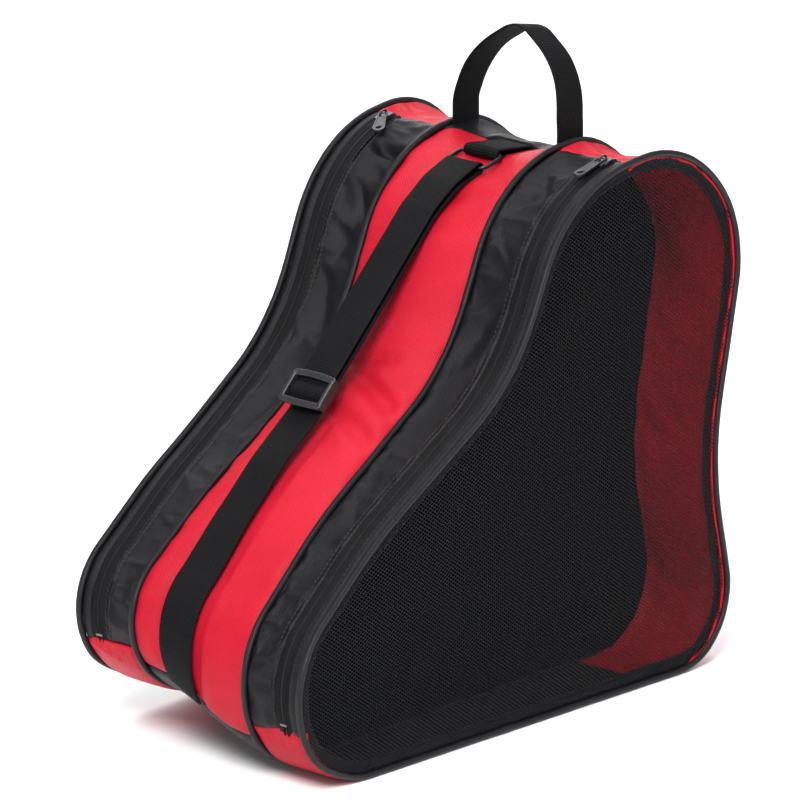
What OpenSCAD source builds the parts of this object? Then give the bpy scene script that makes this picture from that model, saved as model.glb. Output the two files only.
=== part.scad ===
// Boot-shaped skate bag with two skate compartments and a middle pocket.
// Millimetres. +Z is up, the toe points to -X, the wearer's left side is -Y.
// The origin is under the middle of the bag, on the surface it stands on.

/* [Outline corners: x, z, rounding radius] */
// Toe
toe_corner = [-294, 0, 62]; // [-400:1:400]
// Lower end of the instep slope
instep_low = [-128, 151, 208]; // [-400:1:400]
// Hollow above the instep
instep_high = [-8, 227, 142]; // [-400:1:400]
// Front of the collar
collar_front = [41, 341, 94]; // [-400:1:400]
// Back of the collar
collar_back = [215, 357, 82]; // [-400:1:400]
// Hollow of the heel
heel_hollow = [173, 138, 210]; // [-400:1:400]
// Heel
heel_corner = [202, 0, 51]; // [-400:1:400]
// Stations the outline is divided into
stations = 100; // [60:2:140]

/* [Widths] */
// Middle plane to each inner seam
center_half = 47; // [30:1:70]
// Middle plane to each side face, level with the origin
side_half = 102; // [75:1:140]
// Angle each side face opens towards the heel
face_flare = 2.9; // [0:0.1:6]
// Height the soft toe is drawn up by on the right side
toe_lift = 28; // [0:1:40]

/* [Seam stations, counted up the toe from the underside] */
// Seam where the red bottom band meets the zipped front
toe_seam = 6; // [3:1:12]
// Seam where the zipped front meets the red top band
top_seam = 42; // [36:1:46]
// Front edge of the black top patch
patch_front = 42; // [40:1:46]
// How many stations the patch's front edge curves back by in its middle
patch_dip = 1.3; // [0:0.1:2]
// Back edge of the black top patch
patch_back = 48; // [45:1:52]
// Seam where the middle pocket's back meets its base
base_back = 78; // [72:1:84]
// Seam where the base meets the red front panel, past the toe
base_front = 105; // [96:1:108]

/* [Cloth] */
// Thickness of the padded cloth
cloth = 2; // [1:0.1:4]
// Thickness of the mesh sides
mesh_thick = 1.2; // [0.6:0.1:3]
// Thickness of the dividers
divider_thick = 1.6; // [0.8:0.1:4]
// Radius of the piping
piping_r = 2.2; // [1:0.1:4]
// How far the piping's centre stands outside the outline
piping_proud = 0.8; // [0:0.1:2]
// Gap between neighbouring sewn pieces
seam_gap = 0.2; // [0.1:0.05:0.5]
// Webbing thickness
web_thick = 1.6; // [1:0.1:3]
// Stiffener board thickness
board_thick = 2; // [1:0.1:4]

/* [Side zips] */
// Side face to the near edge of the zip tape
zip_edge = 9; // [6:0.5:14]
// Width of the zip tape
tape_w = 12; // [10:0.5:30]
// Width of the closed coil
coil_w = 4.4; // [3:0.1:6]
// Height of the coil above the tape
coil_h = 1.2; // [0.6:0.1:2]
// Where the sliders rest, as degrees round the collar's front arc
slider_angle = 101; // [97:1:150]
// Sideways swing of the right pull
right_pull_swing = 30; // [0:1:30]

/* [Back zip] */
// First station of the back zip
back_zip_top = 51; // [49:1:56]
// Last station of the back zip
back_zip_bottom = 75; // [66:1:77]

/* [Carry handle] */
// Webbing width
handle_w = 25; // [20:1:40]
// Half the distance between the handle's legs
handle_half = 43.4; // [30:0.1:60]
// Height of the arch above the top seams
handle_rise = 66; // [50:1:120]
// Position of the legs along the bag
handle_x = 112; // [90:1:140]
// Lean of the arch towards the heel
handle_lean = 11; // [-20:1:20]
// Height of the fold line above the top seams
fold_rise = 17.5; // [14:0.5:30]

/* [Shoulder strap] */
// Webbing width
strap_w = 28; // [20:1:40]
// Angle the strap wanders to the right on its way down
strap_yaw = 2.5; // [-6:0.5:6]
// Distance between the middles of the doubled strap's two layers
layer_gap = 4.4; // [3.4:0.1:6]
// Ring thickness
ring_bar = 3; // [2:0.1:5]
// Ring length along the strap
ring_len = 22; // [16:1:40]
// Adjuster length along the strap
adjuster_len = 23; // [16:1:40]

/* [Hidden] */
$fn = 48;

red = [0.80, 0.06, 0.13];
black = [0.10, 0.10, 0.11];
webbing = [0.15, 0.15, 0.16];
mesh = [0.07, 0.07, 0.08, 0.75];
metal = [0.45, 0.45, 0.48];
plastic = [0.12, 0.12, 0.13];

fine = 16;
corners = [toe_corner, instep_low, instep_high, collar_front, collar_back, heel_hollow, heel_corner];
face_slope = tan(face_flare);
// half the slot that each piping fills between two cloth edges
seam_half = piping_r + seam_gap;
lift_from_x = 20;
lift_over = 200;
tape_middle = zip_edge + tape_w / 2;

function unit(v) = v / norm(v);
function flat(p) = [p[0], p[1]];
function half_turn(a) = a > 180 ? a - 360 : a < -180 ? a + 360 : a;
function heading(v) = atan2(v[1], v[0]);
function ease(t) = let (c = min(1, max(0, t))) c * c * (3 - 2 * c);

// Arc that rounds corner b of the path a, b, c with radius r, in n steps.
function round_corner(a, b, c, r, n) =
    let (
        u = unit(a - b),
        w = unit(c - b),
        half = acos(u * w) / 2,
        reach = r / tan(half),
        middle = b + unit(u + w) * r / sin(half),
        start = heading(b + u * reach - middle),
        sweep = half_turn(heading(b + w * reach - middle) - start)
    )
    [for (i = [0 : n]) middle + r * [cos(start + sweep * i / n), sin(start + sweep * i / n)]];

// Centre of the arc that rounds corner b.
function round_middle(a, b, c, r) =
    b + unit(unit(a - b) + unit(c - b)) * r / sin(acos(unit(a - b) * unit(c - b)) / 2);

// Open path through the points, with every inner corner rounded by its third number.
function round_path(pts, n = 8) =
    let (last = len(pts) - 1)
    [
        flat(pts[0]),
        for (k = [1 : last - 1])
            each round_corner(flat(pts[k - 1]), flat(pts[k]), flat(pts[k + 1]), pts[k][2], n),
        flat(pts[last])
    ];

// The closed outline, first as dense arcs, then divided evenly into stations.
dense = [
    for (k = [0 : len(corners) - 1])
        let (last = len(corners) - 1)
        each round_corner(
            flat(corners[k == 0 ? last : k - 1]), flat(corners[k]),
            flat(corners[k == last ? 0 : k + 1]), corners[k][2], fine)
];
ends = len(dense);
walked = [
    for (i = 0, s = 0; i <= ends; s = s + norm(dense[(i + 1) % ends] - dense[i % ends]), i = i + 1) s
];
walk_x = [for (i = [0 : ends]) [walked[i], dense[i % ends][0]]];
walk_z = [for (i = [0 : ends]) [walked[i], dense[i % ends][1]]];
pitch = walked[ends] / stations;
outline = [for (i = [0 : stations - 1]) [lookup(i * pitch, walk_x), lookup(i * pitch, walk_z)]];
outward = [
    for (i = [0 : stations - 1])
        let (t = unit(outline[(i + 1) % stations] - outline[(i + stations - 1) % stations]))
        [-t[1], t[0]]
];
collar_middle = round_middle(flat(instep_high), flat(collar_front), flat(collar_back), collar_front[2]);
collar_r = collar_front[2];

// Outline point and outward direction at station i, which may lie between two stations.
function between(list, i) =
    let (a = floor(i), f = i - a)
    (1 - f) * list[a % stations] + f * list[(a + 1) % stations];
// Point at station i, moved out by d, with the given share of the toe lift.
function edge_point(i, d = 0, share = 0) =
    let (
        p = between(outline, i) + d * between(outward, i),
        k = ease((lift_from_x - p[0]) / lift_over) * ease((lift_over - p[1]) / lift_over)
    )
    [p[0], p[1] + toe_lift * share * k];
// Distance of a side face from the middle plane at x.
function face_at(x) = side_half + x * face_slope;
// Piping stands proud of the outline, but lies flush along the underside.
function proud_at(i) =
    let (j = i % stations, under = ease((j - base_back + 3) / 3) + ease((toe_seam - 1 - j) / 3))
    piping_proud - min(1, under) * (piping_proud + piping_r);
// How far the middle pocket swells out (or sags in) at station i.
function swell_at(i) = lookup(i, [
    [base_front - stations, 0], [8, -4], [12, -2], [16, 4], [20, 9], [26, 13], [31, 12], [34, 8],
    [37, -1], [40, -8], [43, -11], [patch_back, -8], [56, 0], [66, 4], [base_back, 0],
    [base_front, 0]
]);

// Closed solid between two equal grids of points: outer rows and inner rows.
module shell(outer, inner) {
    m = len(outer);
    k = len(outer[0]);
    count = m * k;
    points = [for (row = outer) each row, for (row = inner) each row];
    function o(i, j) = i * k + j;
    function n(i, j) = count + i * k + j;
    quads = [
        for (i = [0 : m - 2], j = [0 : k - 2]) [o(i, j), o(i, j + 1), o(i + 1, j + 1), o(i + 1, j)],
        for (i = [0 : m - 2], j = [0 : k - 2]) [n(i, j), n(i + 1, j), n(i + 1, j + 1), n(i, j + 1)],
        for (i = [0 : m - 2]) [o(i, 0), o(i + 1, 0), n(i + 1, 0), n(i, 0)],
        for (i = [0 : m - 2]) [o(i + 1, k - 1), o(i, k - 1), n(i, k - 1), n(i + 1, k - 1)],
        for (j = [0 : k - 2]) [o(0, j + 1), o(0, j), n(0, j), n(0, j + 1)],
        for (j = [0 : k - 2]) [o(m - 1, j), o(m - 1, j + 1), n(m - 1, j + 1), n(m - 1, j)]
    ];
    polyhedron(points, [for (q = quads) each [[q[0], q[1], q[2]], [q[0], q[2], q[3]]]]);
}

// Closed ring of six-sided tube along the points, each with its own outward direction.
module ring_tube(path, r) {
    m = len(path);
    sides = 6;
    points = [
        for (i = [0 : m - 1], k = [0 : sides - 1])
            let (a = (k + 0.5) * 360 / sides, e = outward[i % stations])
            path[i] + r * [cos(a) * e[0], sin(a), cos(a) * e[1]]
    ];
    function at(i, k) = (i % m) * sides + k % sides;
    polyhedron(points, [
        for (i = [0 : m - 1], k = [0 : sides - 1])
            each [
                [at(i, k), at(i, k + 1), at(i + 1, k + 1)],
                [at(i, k), at(i + 1, k + 1), at(i + 1, k)]
            ]
    ]);
}

// Draws its children as the left side's, or mirrored as the right side's.
module on_side(right) {
    mirror([0, right ? 1 : 0, 0]) children();
}

// Strip of a side compartment's wall between two stations. The near edge is measured in from
// the side face; the far edge is either measured the same way or lies at the inner seam.
module side_strip(right, from, to, near, far, top, thick) {
    share = right ? 1 : 0;
    function p(i, d, e) =
        let (q = edge_point(i, d, share))
        [q[0], e < 0 ? -center_half + e : e - face_at(q[0]), q[1]];
    shell(
        [for (i = [from : to]) [for (e = [near, far]) p(i, top, e)]],
        [for (i = [from : to]) [for (e = [near, far]) p(i, top - thick, e)]]);
}

// Upright plate with the outline's shape, facing out of the left side, its edge kept inside
// the piping.
module outline_plate(share, thick, shrink, stretch = 1) {
    rotate([90, 0, 0])
        linear_extrude(thick)
            polygon([
                for (i = [0 : stations - 1])
                    let (p = edge_point(i, proud_at(i) - shrink, share)) [p[0] * stretch, p[1]]
            ]);
}

module mesh_panel(right) {
    color(mesh)
        on_side(right)
            translate([0, mesh_thick - side_half, 0])
                rotate([0, 0, -face_flare])
                    outline_plate(right ? 1 : 0, mesh_thick, seam_half, 1 / cos(face_flare));
}

module face_piping(right) {
    color(black)
        on_side(right)
            ring_tube([
                for (i = [0 : stations - 1])
                    let (p = edge_point(i, proud_at(i), right ? 1 : 0))
                    [p[0], -face_at(p[0]), p[1]]
            ], piping_r);
}

module inner_piping(right) {
    color(black)
        on_side(right)
            ring_tube([
                for (i = [0 : stations - 1])
                    let (p = edge_point(i, proud_at(i), right ? 1 : 0))
                    [p[0], -center_half, p[1]]
            ], piping_r);
}

module divider(right) {
    color(black)
        on_side(right)
            translate([0, divider_thick / 2 - center_half, 0])
                outline_plate(right ? 1 : 0, divider_thick, seam_half);
}

module edge_strip(right) {
    color(black)
        on_side(right)
            side_strip(right, toe_seam, top_seam, seam_half, zip_edge - seam_gap, 0, cloth);
}

module zip_tape(right) {
    color(black)
        on_side(right)
            side_strip(right, toe_seam, top_seam, zip_edge, zip_edge + tape_w, -0.3, 1);
}

module zip_coil(right) {
    color(plastic)
        on_side(right)
            side_strip(right, toe_seam + 1, top_seam - 1, tape_middle - coil_w / 2,
                tape_middle + coil_w / 2, coil_h - 0.3, coil_h);
}

module front_gusset(right) {
    color(black)
        on_side(right)
            side_strip(right, toe_seam, top_seam, zip_edge + tape_w + seam_gap, -seam_half, 0, cloth);
}

// The red band runs over the top, down the heel and back along the underside to the toe seam.
module red_gusset(right) {
    color(red)
        on_side(right)
            side_strip(right, top_seam, stations + toe_seam, seam_half, -seam_half, 0, cloth);
}

// Stiffener that lies on the underside cloth of a side compartment.
module side_board(right) {
    inner_edge = center_half + 3;
    outer_edge = side_half - 14;
    low = [for (i = [base_back + 2 : stations]) edge_point(i, -cloth - seam_gap, right ? 1 : 0)];
    high = [
        for (i = [base_back + 2 : stations])
            edge_point(i, -cloth - seam_gap - board_thick, right ? 1 : 0)
    ];
    color(plastic)
        on_side(right)
            translate([0, -inner_edge, 0])
                rotate([90, 0, 0])
                    linear_extrude(outer_edge - inner_edge)
                        polygon([each low, for (i = [len(high) - 1 : -1 : 0]) high[i]]);
}

// Panel of the middle pocket between two stations and two widths, top and thickness measured
// out from the outline. The row at the patch's front edge curves back in its middle.
module center_panel(from, to, low_y, high_y, columns, top, thick) {
    function p(row, y, d) =
        let (
            across = y / center_half,
            round_off = 1 - across * across,
            i = row == patch_front ? row + patch_dip * round_off : row,
            q = edge_point(i, d + swell_at(i) * round_off, ease((across + 1) / 2))
        )
        [q[0], y, q[1]];
    ys = [for (j = [0 : columns]) low_y + (high_y - low_y) * j / columns];
    shell(
        [for (i = [from : to]) [for (y = ys) p(i, y, top)]],
        [for (i = [from : to]) [for (y = ys) p(i, y, top - thick)]]);
}

center_edge = center_half - seam_half;

module center_front_panel() {
    color(red)
        center_panel(base_front - stations, patch_front, -center_edge, center_edge, 6, 0, cloth);
}

module top_patch() {
    color(black)
        center_panel(patch_front, patch_back, -center_edge, center_edge, 6, 0, cloth);
}

module center_back(side) {
    inner = tape_w / 2 + seam_gap;
    color(black)
        center_panel(patch_back, base_back, side < 0 ? -center_edge : inner,
            side < 0 ? -inner : center_edge, 2, 0, cloth);
}

module back_zip_tape() {
    color(black)
        center_panel(patch_back, base_back, -tape_w / 2, tape_w / 2, 1, -0.3, 1);
}

module back_zip_coil() {
    color(plastic)
        center_panel(back_zip_top, back_zip_bottom, -coil_w / 2, coil_w / 2, 1, coil_h - 0.1, coil_h);
}

module center_base_panel() {
    color(black)
        center_panel(base_back, base_front, -center_edge, center_edge, 6, 0, cloth);
}

module center_base_board() {
    board_edge = center_half - 5;
    color(plastic)
        center_panel(base_back + 2, stations, -board_edge, board_edge, 6, -cloth - 2 * seam_gap, board_thick);
}

// Metal clip over the back zip's end, centred on the tape at station i.
module end_stop(i) {
    p = edge_point(i, swell_at(i));
    stop = [1.6, 5, 1.6];
    translate([p[0], 0, p[1]])
        rotate([0, 90 - heading(outward[i % stations]), 0])
            translate([0, 0, stop[2] / 2 - 0.2])
                cube(stop, center = true);
}

module zip_end_stops() {
    color(metal)
        for (right = [false, true])
            for (i = [toe_seam, top_seam])
                let (k = i == toe_seam ? i + 0.5 : i - 0.5)
                    on_side(right)
                        side_stop(k, right ? 1 : 0);
    color(metal) {
        end_stop(back_zip_top - 1);
        end_stop(back_zip_bottom + 1);
    }
}

// End stop between two stations of a side zip.
module side_stop(k, share) {
    a = edge_point(floor(k), 0, share);
    b = edge_point(floor(k) + 1, 0, share);
    middle = (a + b) / 2;
    stop = [1.6, 5, 1.6];
    translate([middle[0], tape_middle - face_at(middle[0]), middle[1]])
        rotate([0, -heading(b - a), 0])
            translate([0, 0, stop[2] / 2 - 0.2])
                cube(stop, center = true);
}

slider_w = 8.6;
slider_len = 12;
plate_z = coil_h + 0.5;
plate_thick = 1.3;
pin_r = 0.8;
pin_z = plate_z + plate_thick + pin_r + 0.4;
bridge_x = 2.6;
bridge_post = 1;
bridge_w = 1;
bridge_top = pin_z + pin_r + 1.5;
pull_len = 25;
pull_thick = 1.4;

// Slider that rides over a coil along x, with a bridge for its pull. z = 0 is the tape.
module slider() {
    color(metal) {
        translate([-slider_len / 2, -slider_w / 2, plate_z])
            cube([slider_len, slider_w, plate_thick]);
        for (s = [-1, 1])
            translate([-slider_len / 2, s * (slider_w - 1) / 2 - 0.5, 0.6])
                cube([slider_len, 1, plate_z - 0.5]);
        for (s = [-1, 1])
            translate([s * bridge_x - bridge_post / 2, -bridge_w / 2, plate_z + plate_thick - 0.1])
                cube([bridge_post, bridge_w, bridge_top - plate_z - plate_thick + 0.1]);
        translate([-bridge_x - bridge_post / 2, -bridge_w / 2, bridge_top - 0.9])
            cube([2 * bridge_x + bridge_post, bridge_w, 0.9]);
    }
}

// Pull that turns on a pin through the slider's bridge. It points along -x, dipped by tilt.
module pull(tilt, swing) {
    cheek_in = 2.1;
    cheek_out = 3.1;
    neck = 6.4;
    tip_r = 4.1;
    hole_r = 1.9;
    color(metal)
        translate([0, 0, pin_z])
            rotate([0, -tilt, -swing]) {
                rotate([90, 0, 0])
                    cylinder(r = pin_r, h = 2 * cheek_out, center = true);
                translate([0, 0, -pull_thick / 2])
                    linear_extrude(pull_thick)
                        difference() {
                            union() {
                                for (s = [-1, 1])
                                    translate([-neck, s > 0 ? cheek_in : -cheek_out])
                                        square([neck, cheek_out - cheek_in]);
                                polygon([
                                    [-neck, -cheek_out], [-neck, cheek_out],
                                    [-pull_len + tip_r, tip_r], [-pull_len + tip_r, -tip_r]
                                ]);
                                translate([-pull_len + tip_r, 0])
                                    circle(r = tip_r);
                            }
                            translate([-pull_len + tip_r, 0])
                                circle(r = hole_r);
                        }
            }
}

// Places a slider or pull on the collar's front arc of a side zip.
module on_collar(right) {
    on_side(right)
        translate([0, tape_middle - side_half, 0])
            rotate([0, 0, -face_flare])
                translate([collar_middle[0], 0, collar_middle[1]])
                    rotate([0, 90 - slider_angle, 0])
                        translate([0, 0, collar_r - 0.3])
                            children();
}

// Places a slider or pull near the top of the straight stretch of the back zip.
module on_back_zip() {
    a = edge_point(56, swell_at(56) - 0.3);
    b = edge_point(60, swell_at(60) - 0.3);
    dir = heading(b - a);
    translate([a[0], 0, a[1]])
        rotate([0, -dir, 0])
            mirror([1, 0, 0])
                children();
}

top_z = edge_point(patch_front)[1];
fold_z = top_z + fold_rise;
fold_clear = 0.4;

// Two short webbing ends that stay sewn in the top seams under the handle.
module handle_sewn_ends() {
    stub_h = fold_rise - handle_w / 2 - fold_clear;
    color(webbing)
        for (s = [-1, 1])
            translate([handle_x - handle_w / 2, s * handle_half - web_thick / 2, top_z - 1])
                cube([handle_w, web_thick, stub_h + 1]);
}

// Flat band of constant thickness along a path in the plane, extruded across.
module band(path, thick, width) {
    last = len(path) - 1;
    side = [
        for (i = [0 : last])
            let (t = unit(path[min(i + 1, last)] - path[max(i - 1, 0)]))
            [-t[1], t[0]] * thick / 2
    ];
    linear_extrude(width, center = true)
        polygon([
            for (i = [0 : last]) path[i] + side[i],
            for (i = [last : -1 : 0]) path[i] - side[i]
        ]);
}

module carry_handle() {
    rise = handle_rise - fold_rise;
    shoulder = handle_half * 0.84;
    arch = round_path([
        [-handle_half, 0], [-shoulder, rise * 0.62, 52], [0, rise + 6.4, 17],
        [shoulder, rise * 0.62, 52], [handle_half, 0]
    ]);
    color(webbing)
        translate([handle_x, 0, fold_z])
            rotate([0, handle_lean, 0]) {
                rotate([90, 0, 90])
                    band(arch, web_thick, handle_w);
                for (s = [-1, 1])
                    translate([0, s * handle_half, 0])
                        rotate([90, 0, 0])
                            cylinder(r = handle_w / 2, h = web_thick, center = true);
            }
}

// The shoulder strap wanders down the front panel. Its route is given by stations and heights
// above the panel; the ring, the tab and the doubled webbing lie in one upright plane.
ring_x = edge_point(39)[0];
function wander(i) = (ring_x - edge_point(i)[0]) * tan(strap_yaw);
function route(i, h) =
    let (across = wander(i) / center_half)
    edge_point(i, swell_at(i) * (1 - across * across) + h, ease((across + 1) / 2));
bar_wrap_r = ring_bar / 2 + 0.9 + web_thick / 2;
ring_tilt = 16;
ring_pin = route(39, bar_wrap_r + web_thick / 2 + 1.6);
tab_pin = ring_pin + (ring_len - ring_bar) * [cos(ring_tilt), sin(ring_tilt)];
bend_at = route(35.6, 7.5);
bend_high = route(37.3, 7);
bend_r = 40;
adjuster_at = route(23.4, 14);
run_dir = unit(adjuster_at - bend_at);
run_angle = heading(run_dir);

module in_strap_plane() {
    translate([ring_x, 0, 0])
        rotate([0, 0, -strap_yaw])
            translate([-ring_x, 0, 0])
                children();
}

// Extrudes an upright (x, z) shape across the strap.
module across_strap() {
    in_strap_plane()
        rotate([90, 0, 0])
            children();
}

function arc_points(middle, r, from, to, n) =
    [for (i = [0 : n]) middle + r * [cos(from + (to - from) * i / n), sin(from + (to - from) * i / n)]];

// Webbing tab that comes out from under the top patch and folds round the ring.
module strap_tab() {
    end = route(patch_front + patch_dip - 0.4, web_thick * 1.5 + 0.8);
    path = [
        end + [0, web_thick / 2 + 0.1],
        each arc_points(tab_pin, bar_wrap_r, 80, 280, 8),
        end - [0, web_thick / 2 + 0.1]
    ];
    color(webbing)
        across_strap()
            band(path, web_thick, strap_w);
}

module strap_ring() {
    outer = [ring_len, strap_w + 9];
    inner = [ring_len - 2 * ring_bar, strap_w + 9 - 2 * ring_bar];
    color(metal)
        in_strap_plane()
            translate([ring_pin[0], 0, ring_pin[1]])
                rotate([0, -ring_tilt, 0])
                    translate([-ring_bar / 2, -outer[1] / 2, -ring_bar / 2])
                        difference() {
                            cube([outer[0], outer[1], ring_bar]);
                            translate([ring_bar, ring_bar, -1])
                                cube([inner[0], inner[1], ring_bar + 2]);
                        }
}

// Direction in from a downward path, towards the bag.
function into(dir) = [-dir[1], dir[0]];

// Doubled webbing from the ring down to the adjuster.
module upper_strap() {
    half = layer_gap / 2;
    foot = adjuster_at + run_dir * adjuster_len * 0.42;
    from_ring = into(unit(bend_high - ring_pin));
    middle_in = into(unit(bend_at - bend_high));
    run_in = into(run_dir);
    high_in = unit(from_ring + middle_in) * half;
    bend_in = unit(middle_in + run_in) * half;
    turn = heading(from_ring);
    wrap = arc_points(ring_pin, bar_wrap_r, turn + 180, turn, 10);
    over = round_path([
        [each (foot - run_in * half)],
        [each (bend_at - bend_in), bend_r],
        [each (bend_high - high_in), bend_r],
        [each wrap[0]]
    ]);
    back = round_path([
        [each wrap[10]],
        [each (bend_high + high_in), bend_r],
        [each (bend_at + bend_in), bend_r],
        [each (foot + run_in * half)]
    ]);
    color(webbing)
        across_strap()
            band([each over, for (i = [1 : 9]) wrap[i], each back], web_thick, strap_w);
}

// Three-bar adjuster: its end bars lie over the doubled strap, its middle bar between layers.
module strap_adjuster() {
    arm = 3;
    clear = 0.5;
    over = layer_gap / 2 + web_thick / 2 + clear;
    bar = 2.2;
    inner_w = strap_w + 2 * clear + 0.4;
    color(plastic)
        in_strap_plane()
            translate([adjuster_at[0], 0, adjuster_at[1]])
                rotate([0, -run_angle, 0])
                    mirror([0, 0, 1]) {
                        for (s = [-1, 1])
                            translate([s * (adjuster_len - 4) / 2 - 2, -inner_w / 2 - arm, over])
                                cube([4, inner_w + 2 * arm, bar]);
                        for (s = [-1, 1])
                            translate([-adjuster_len / 2, s * (inner_w + arm) / 2 - arm / 2, -1])
                                cube([adjuster_len, arm, over + bar + 1]);
                        translate([-2, -inner_w / 2 - arm, -1])
                            cube([4, inner_w + 2 * arm, 2]);
                    }
}

// Webbing that follows the front panel, twisting with it. Each row is a station and the height
// of the webbing's middle above the panel.
module laid_strap(rows) {
    spread = strap_w / 2 / cos(strap_yaw);
    function p(row, s, d) =
        let (
            y = wander(row[0]) + s * spread,
            across = y / center_half,
            q = edge_point(row[0], swell_at(row[0]) * (1 - across * across) + row[1] + d,
                ease((across + 1) / 2))
        )
        [q[0] + s * spread * sin(strap_yaw), y, q[1]];
    color(webbing)
        shell(
            [for (row = rows) [for (s = [-1, 0, 1]) p(row, s, web_thick / 2)]],
            [for (row = rows) [for (s = [-1, 0, 1]) p(row, s, -web_thick / 2)]]);
}

// Single webbing from under the adjuster down to the toe.
module lower_strap() {
    laid_strap([
        [7.6, 3.4], [9.3, 3], [11, 2.8], [12.8, 3.2], [14.5, 3.8], [16, 4.2], [17.4, 5],
        [18.4, 6.4], [19.4, 7.8], [20.6, 8.2], [21.8, 8.2]
    ]);
}

// Webbing end sewn into the toe seam below the strap.
module strap_anchor() {
    laid_strap([[5.2, 1.6], [6, 1.8], [7.2, 2.2]]);
}

mesh_panel(false);  // left_mesh_panel
mesh_panel(true);  // right_mesh_panel
face_piping(false);  // left_face_piping
face_piping(true);  // right_face_piping
inner_piping(false);  // left_inner_piping
inner_piping(true);  // right_inner_piping
edge_strip(false);  // left_edge_strip
edge_strip(true);  // right_edge_strip
zip_tape(false);  // left_zip_tape
zip_tape(true);  // right_zip_tape
zip_coil(false);  // left_zip_coil
zip_coil(true);  // right_zip_coil
front_gusset(false);  // left_front_gusset
front_gusset(true);  // right_front_gusset
red_gusset(false);  // left_red_gusset
red_gusset(true);  // right_red_gusset
divider(false);  // left_divider
divider(true);  // right_divider
side_board(false);  // left_base_board
side_board(true);  // right_base_board
center_base_board();
center_front_panel();
top_patch();
center_back(-1);  // center_back_left
center_back(1);  // center_back_right
back_zip_tape();
back_zip_coil();
center_base_panel();
zip_end_stops();
on_collar(false) slider();  // left_zip_slider
on_collar(true) slider();  // right_zip_slider
on_back_zip() slider();  // back_zip_slider
on_collar(false) pull(4, 0);  // left_zip_pull
on_collar(true) pull(4, right_pull_swing);  // right_zip_pull
on_back_zip() pull(4, 0);  // back_zip_pull
handle_sewn_ends();
carry_handle();
strap_tab();
strap_ring();
upper_strap();
strap_adjuster();
lower_strap();
strap_anchor();
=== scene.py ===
import math

import bpy
import numpy as np
from mathutils import Matrix, Vector


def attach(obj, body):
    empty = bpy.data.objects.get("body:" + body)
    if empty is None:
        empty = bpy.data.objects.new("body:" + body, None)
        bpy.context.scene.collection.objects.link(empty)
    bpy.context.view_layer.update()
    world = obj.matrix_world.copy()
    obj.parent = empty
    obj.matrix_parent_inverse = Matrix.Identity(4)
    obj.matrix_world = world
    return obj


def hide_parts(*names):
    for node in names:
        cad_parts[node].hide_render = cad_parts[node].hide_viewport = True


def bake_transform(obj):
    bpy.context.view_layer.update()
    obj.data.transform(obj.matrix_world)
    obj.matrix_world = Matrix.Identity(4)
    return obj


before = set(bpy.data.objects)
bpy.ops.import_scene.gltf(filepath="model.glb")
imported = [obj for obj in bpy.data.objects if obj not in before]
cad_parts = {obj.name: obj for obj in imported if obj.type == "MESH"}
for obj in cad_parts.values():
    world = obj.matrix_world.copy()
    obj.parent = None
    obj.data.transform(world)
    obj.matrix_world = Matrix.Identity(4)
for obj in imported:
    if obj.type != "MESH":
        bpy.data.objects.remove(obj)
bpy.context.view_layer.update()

MM = 0.001
STITCH_PITCH = 3.4

# ---------------------------------------------------------------- the bag's outline, in mm
# x, z and rounding radius of each corner
CORNERS = [
    (-294, 0, 62),
    (-128, 151, 208),
    (-8, 227, 142),
    (41, 341, 94),
    (215, 357, 82),
    (173, 138, 210),
    (202, 0, 51),
]
STATIONS = 100
CENTER_HALF = 47.0
SIDE_HALF = 102.0
FACE_FLARE = math.radians(2.9)
FACE_SLOPE = math.tan(FACE_FLARE)
TOE_LIFT = 28.0
TOE_SEAM, TOP_SEAM = 6, 42
PATCH_FRONT, PATCH_BACK, PATCH_DIP = 42, 48, 1.3
BASE_BACK, BASE_FRONT = 78, 105
PIPING_R, PIPING_PROUD = 2.2, 0.8
CLOTH = 2.0
ZIP_EDGE, TAPE_W = 9.0, 12.0
TAPE_MIDDLE = ZIP_EDGE + TAPE_W / 2


def ease(t):
    c = np.clip(t, 0.0, 1.0)
    return c * c * (3 - 2 * c)


def unit(v):
    v = np.asarray(v, float)
    return v / np.linalg.norm(v)


def heading(v):
    return math.atan2(v[1], v[0])


def corner_middle(a, b, c, radius):
    """Middle of the arc that rounds corner b of the path a, b, c."""
    u, w = unit(a - b), unit(c - b)
    return b + unit(u + w) * radius / math.sin(math.acos(float(u @ w)) / 2)


def round_corner(a, b, c, radius, steps):
    """Arc that rounds corner b of the path a, b, c."""
    a, b, c = (np.asarray(p, float) for p in (a, b, c))
    u, w = unit(a - b), unit(c - b)
    half = math.acos(float(u @ w)) / 2
    middle = corner_middle(a, b, c, radius)
    first = b + u * radius / math.tan(half) - middle
    last = b + w * radius / math.tan(half) - middle
    start = heading(first)
    sweep = (heading(last) - start + math.pi) % (2 * math.pi) - math.pi
    angles = start + sweep * np.linspace(0, 1, steps + 1)
    return middle + radius * np.stack([np.cos(angles), np.sin(angles)], 1)


def round_path(points, steps=8):
    """Open path whose inner corners are rounded by their third number."""
    parts = [np.array([points[0][:2]], float)]
    for before, corner, after in zip(points, points[1:], points[2:]):
        parts.append(round_corner(before[:2], corner[:2], after[:2], corner[2], steps))
    parts.append(np.array([points[-1][:2]], float))
    return np.concatenate(parts)


def walk(path):
    """Distance along the path at each of its points."""
    return np.concatenate([[0], np.cumsum(np.linalg.norm(np.diff(path, axis=0), axis=1))])


def follow(s, values):
    """Function that gives the values at any distance along a path."""
    return lambda t: np.stack([np.interp(t, s, values[:, k]) for k in range(3)], 1)


def resample(path, step):
    """The same path with evenly spaced points."""
    path = np.asarray(path, float)
    s = walk(path)
    t = np.linspace(0, s[-1], max(3, int(s[-1] / step) + 1))
    return np.stack([np.interp(t, s, path[:, k]) for k in range(path.shape[1])], 1)


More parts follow.
